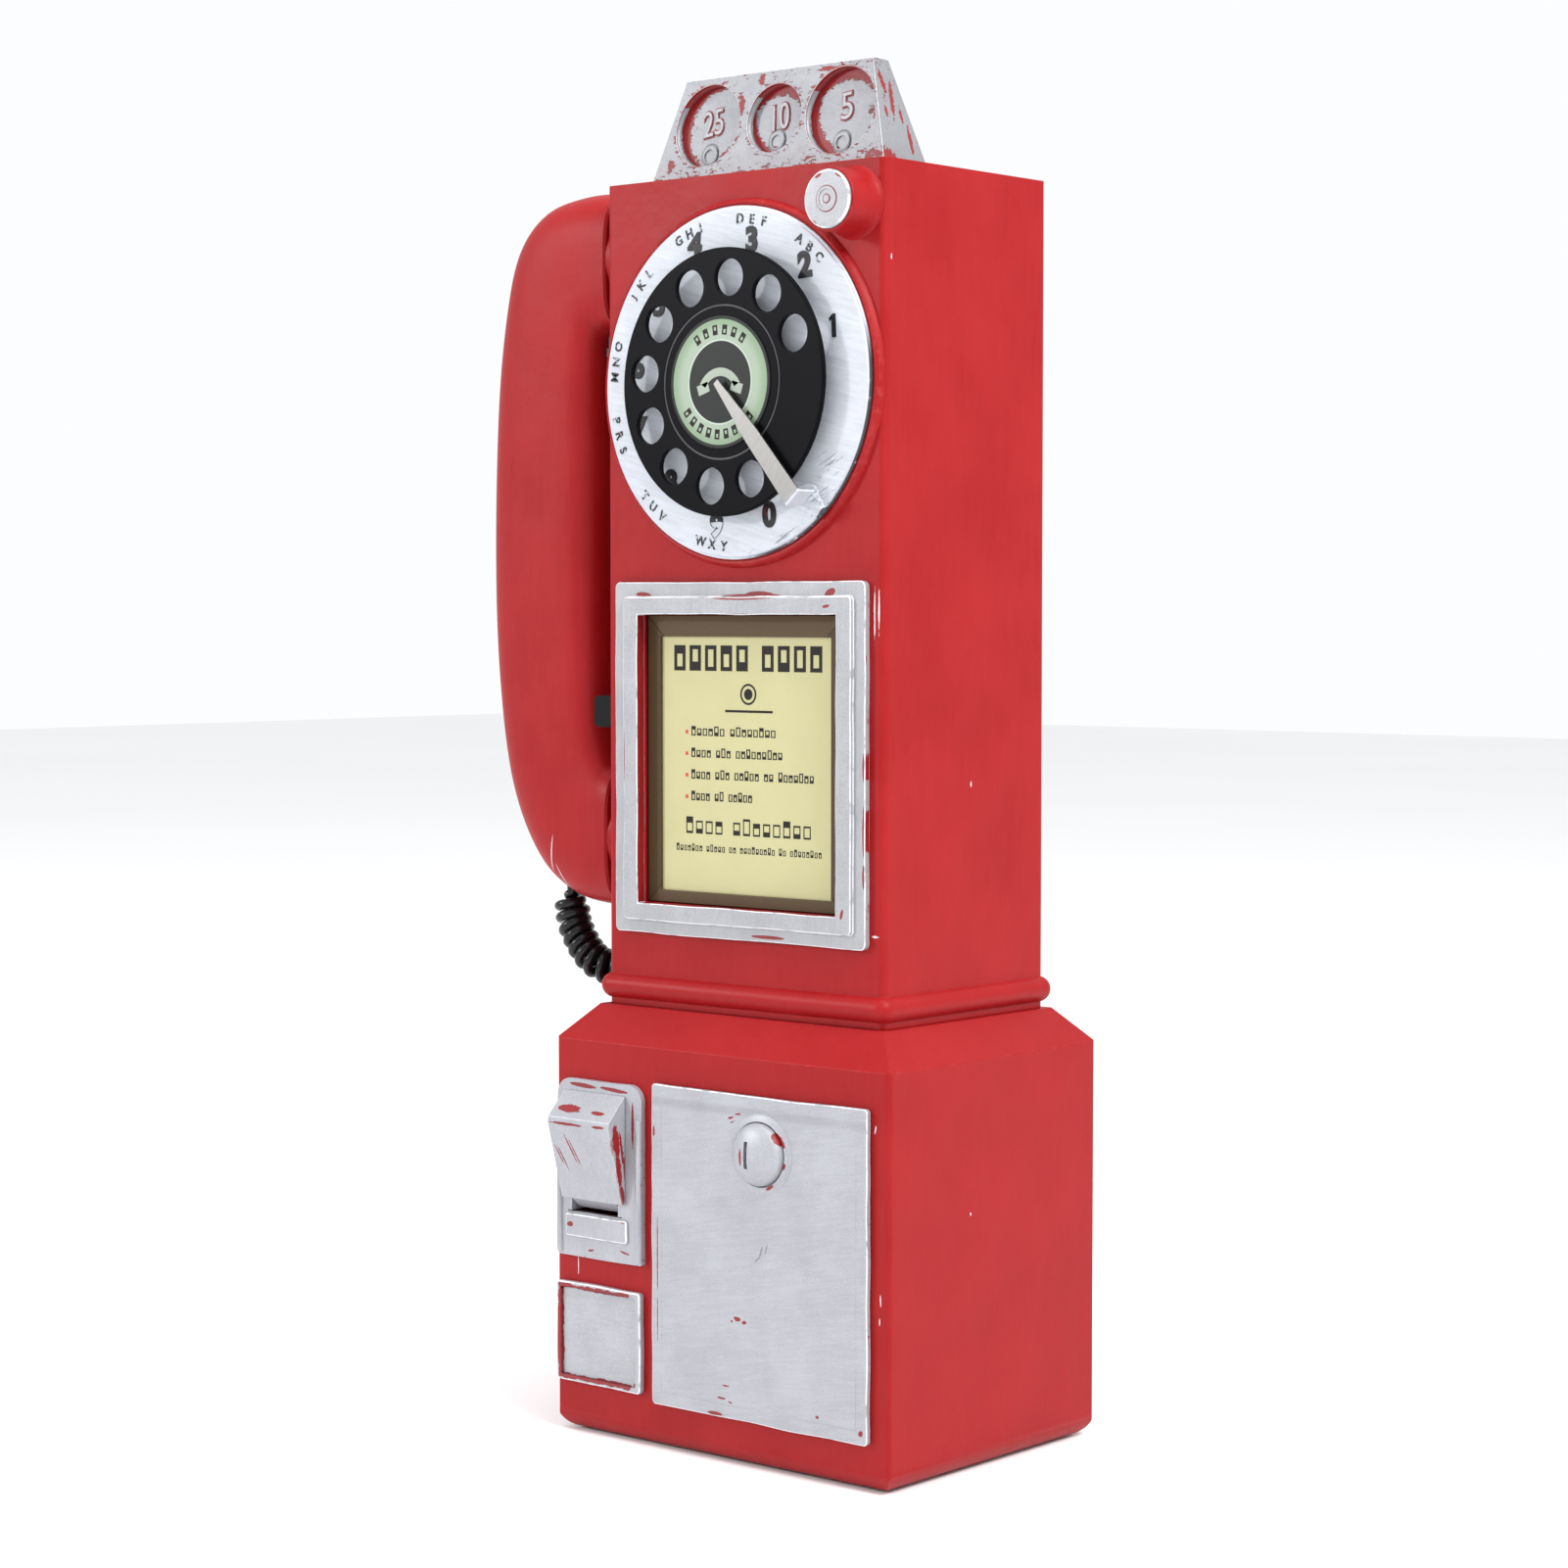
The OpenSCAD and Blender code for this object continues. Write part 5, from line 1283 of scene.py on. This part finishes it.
def coin_place(x, z, depth):
    """A place on the coin head's leaning front, depth mm behind it."""
    front_y = HEAD_FOOT_Y + (COIN_Z - HEAD_FOOT_Z) * math.tan(HEAD_LEAN)
    foot = Matrix.Translation(Vector((x, front_y, COIN_Z)) * MM)
    lean = Matrix.Rotation(-HEAD_LEAN, 4, "X")
    return foot @ lean @ Matrix.Translation(Vector((0, depth, z - COIN_Z)) * MM)


def make_coin_marks():
    outlines = bmesh.new()
    faces = bmesh.new()
    for (x, radius), (body, shift_x, shift_z, squeeze) in zip(COIN_RECESS, FIGURES):
        place = turned(coin_place(x + shift_x, COIN_Z + shift_z, COIN_DEPTH), FIGURE_TILT)
        figure(outlines, body, FIGURE_HEIGHT, 0.25, place, bold=0.034, squeeze=squeeze)
        figure(faces, body, FIGURE_HEIGHT, 0.6, place, bold=-0.004, squeeze=squeeze)
    marks_piece("coin_figure_outlines", outlines, "figure_outline", "coin_head")
    marks_piece("coin_figures", faces, "figure_silver", "coin_head")


def make_button_mark():
    """A ring and a dot, where a word would be."""
    shape = bmesh.new()
    place = facing(BUTTON.x / MM, BUTTON.z / MM, BUTTON_Y)
    ring_mark(shape, 0, 0, 3.2, 4.0, 0.25, place, sides=40)
    ring_mark(shape, 0, 0, 0.01, 1.2, 0.25, place, sides=24)
    marks_piece("button_mark", shape, "figure_silver", "push_button")
    shape = bmesh.new()
    ring_mark(shape, 0, 0, 4.0, 4.35, 0.08, place, sides=40)
    ring_mark(shape, 0, 0, 1.2, 1.6, 0.08, place, sides=24)
    marks_piece("button_mark_outline", shape, "figure_outline", "push_button")


def make_button_spring():
    """Coil spring that shortens as the button goes in."""
    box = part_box("button_spring")
    back, front = box[1].y - 0.45 * MM, box[0].y + 0.45 * MM
    centre = (box[0] + box[1]) / 2
    turns, steps, radius = 2, 24, 6.3 * MM
    path = []
    for k in range(turns * steps + 1):
        a = 2 * math.pi * k / steps
        path.append(Vector((centre.x + radius * math.cos(a), back + (front - back) * k / (turns * steps),
                            centre.z + radius * math.sin(a))))
    mesh = tube(path, 0.45 * MM, sides=10)
    made = bpy.data.objects.new("button_coil", mesh)
    bpy.context.scene.collection.objects.link(made)
    mesh.materials.append(MATERIALS[SLOT_OF["button_spring"]])
    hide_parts("button_spring")
    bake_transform(made, body_of("column_housing"), body_of("push_button"), start=(centre.x, back, centre.z),
             end=(centre.x, front, centre.z))


# ---- Castings ----

def off_recess_floors(place):
    """Whether an edge of the coin head, by its middle in mm, is clear of the floors of the recesses."""
    depth = place.y - HEAD_FOOT_Y - (place.z - HEAD_FOOT_Z) * math.tan(HEAD_LEAN)
    return abs(depth - COIN_DEPTH) > 1.2 or abs(place.x) > 45.5


def make_castings():
    red = MATERIALS["red_paint"]
    cabinet = MATERIALS["cabinet_red"]
    red_edge = MATERIALS["red_edge"]
    ridge = MATERIALS["silver_edge"]
    cast("base_housing", cabinet, edge=1.3, edge_material=red_edge,
         keep=lambda p: abs(p.x) > 71.5 or abs(p.y) > 54.5 or p.z > 135)
    cast("column_housing", cabinet, edge=1.1, edge_material=red_edge,
         keep=lambda p: (abs(p.x) > 59.5 or abs(p.y) > 41.5 or p.z > 431.5))
    for node in ("button_collar", "dial_collar"):
        cast(node, red, edge=0.5, edge_material=red_edge)
    cast("coin_head", MATERIALS["coin_head"], edge=1.0, edge_material=ridge, keep=off_recess_floors)
    for node, edge, wobble in (("push_button", 0.6, 0.0), ("card_frame", 0.8, 0.35), ("vault_door", 0.5, 0.4),
                               ("return_escutcheon", 0.7, 0.3), ("return_scoop", 0.8, 0.0),
                               ("return_sill", 0.6, 0.2)):
        cast(node, MATERIALS[node], edge=edge, edge_material=ridge, wobble=wobble)
    cast("lower_cover", MATERIALS["lower_cover"], edge=0.5, edge_material=ridge, wobble=0.4,
         keep=lambda p: abs(p.x + 52.9) > 18.9 or abs(p.z - 35.6) > 16.6)
    cast("lock_cylinder", MATERIALS["lock_collar"], edge=0.4, edge_material=ridge)
    cast("card_bezel", MATERIALS["bezel_brown"], edge=0.25, rounds=2)


def dress_nodes():
    """Every CAD node that is still shown gets its slot's material."""
    for name, node in NODES.items():
        for holder in node.material_slots:
            holder.material = MATERIALS[SLOT_OF[name]]


# ---- Light and floor ----

def area_light(name, place, aim, size, power):
    data = bpy.data.lights.new(name, "AREA")
    data.shape = "RECTANGLE"
    data.size, data.size_y = size
    data.energy = power
    light = bpy.data.objects.new(name, data)
    light.location = place
    light.rotation_euler = (Vector(aim) - Vector(place)).to_track_quat("-Z", "Y").to_euler()
    bpy.context.scene.collection.objects.link(light)


def make_stage():
    mesh = bpy.data.meshes.new("floor")
    half = 6.0
    corners = [(-half, -half, 0), (half, -half, 0), (half, half, 0), (-half, half, 0)]
    mesh.from_pydata(corners, [], [(0, 1, 2, 3)])
    floor = bpy.data.objects.new("floor", mesh)
    floor.location.z = CAD_BOX[0].z - 0.2 * MM
    bpy.context.scene.collection.objects.link(floor)
    pale = Shader("floor_pale", Roughness=0.9)
    cloud = pale.noise(600, detail=2)
    pale.set(Base_Color=pale.mix(cloud, (0.86, 0.86, 0.86), (0.90, 0.90, 0.90)))
    mesh.materials.append(pale.material)

    world = bpy.data.worlds.new("studio")
    world.use_nodes = True
    background = world.node_tree.nodes["Background"]
    background.inputs["Color"].default_value = (0.975, 0.985, 1.0, 1)
    background.inputs["Strength"].default_value = 1.0
    bpy.context.scene.world = world
    bpy.context.scene.view_settings.view_transform = "Standard"
    area_light("key", (-1.5, -1.6, 1.0), (0, 0, 0.27), (0.25, 0.3), 19)
    area_light("side", (1.4, -0.25, 1.7), (0, 0, 0.33), (0.9, 0.9), 44)
    area_light("top", (0.1, -0.4, 2.2), (0, 0, 0.2), (1.4, 1.4), 14)


make_camera()
make_materials()
make_cord()
make_castings()
make_handset()
make_dial()
make_card_print()
make_coin_marks()
make_button_mark()
make_button_spring()
make_lock_collar()
dress_nodes()
make_stage()
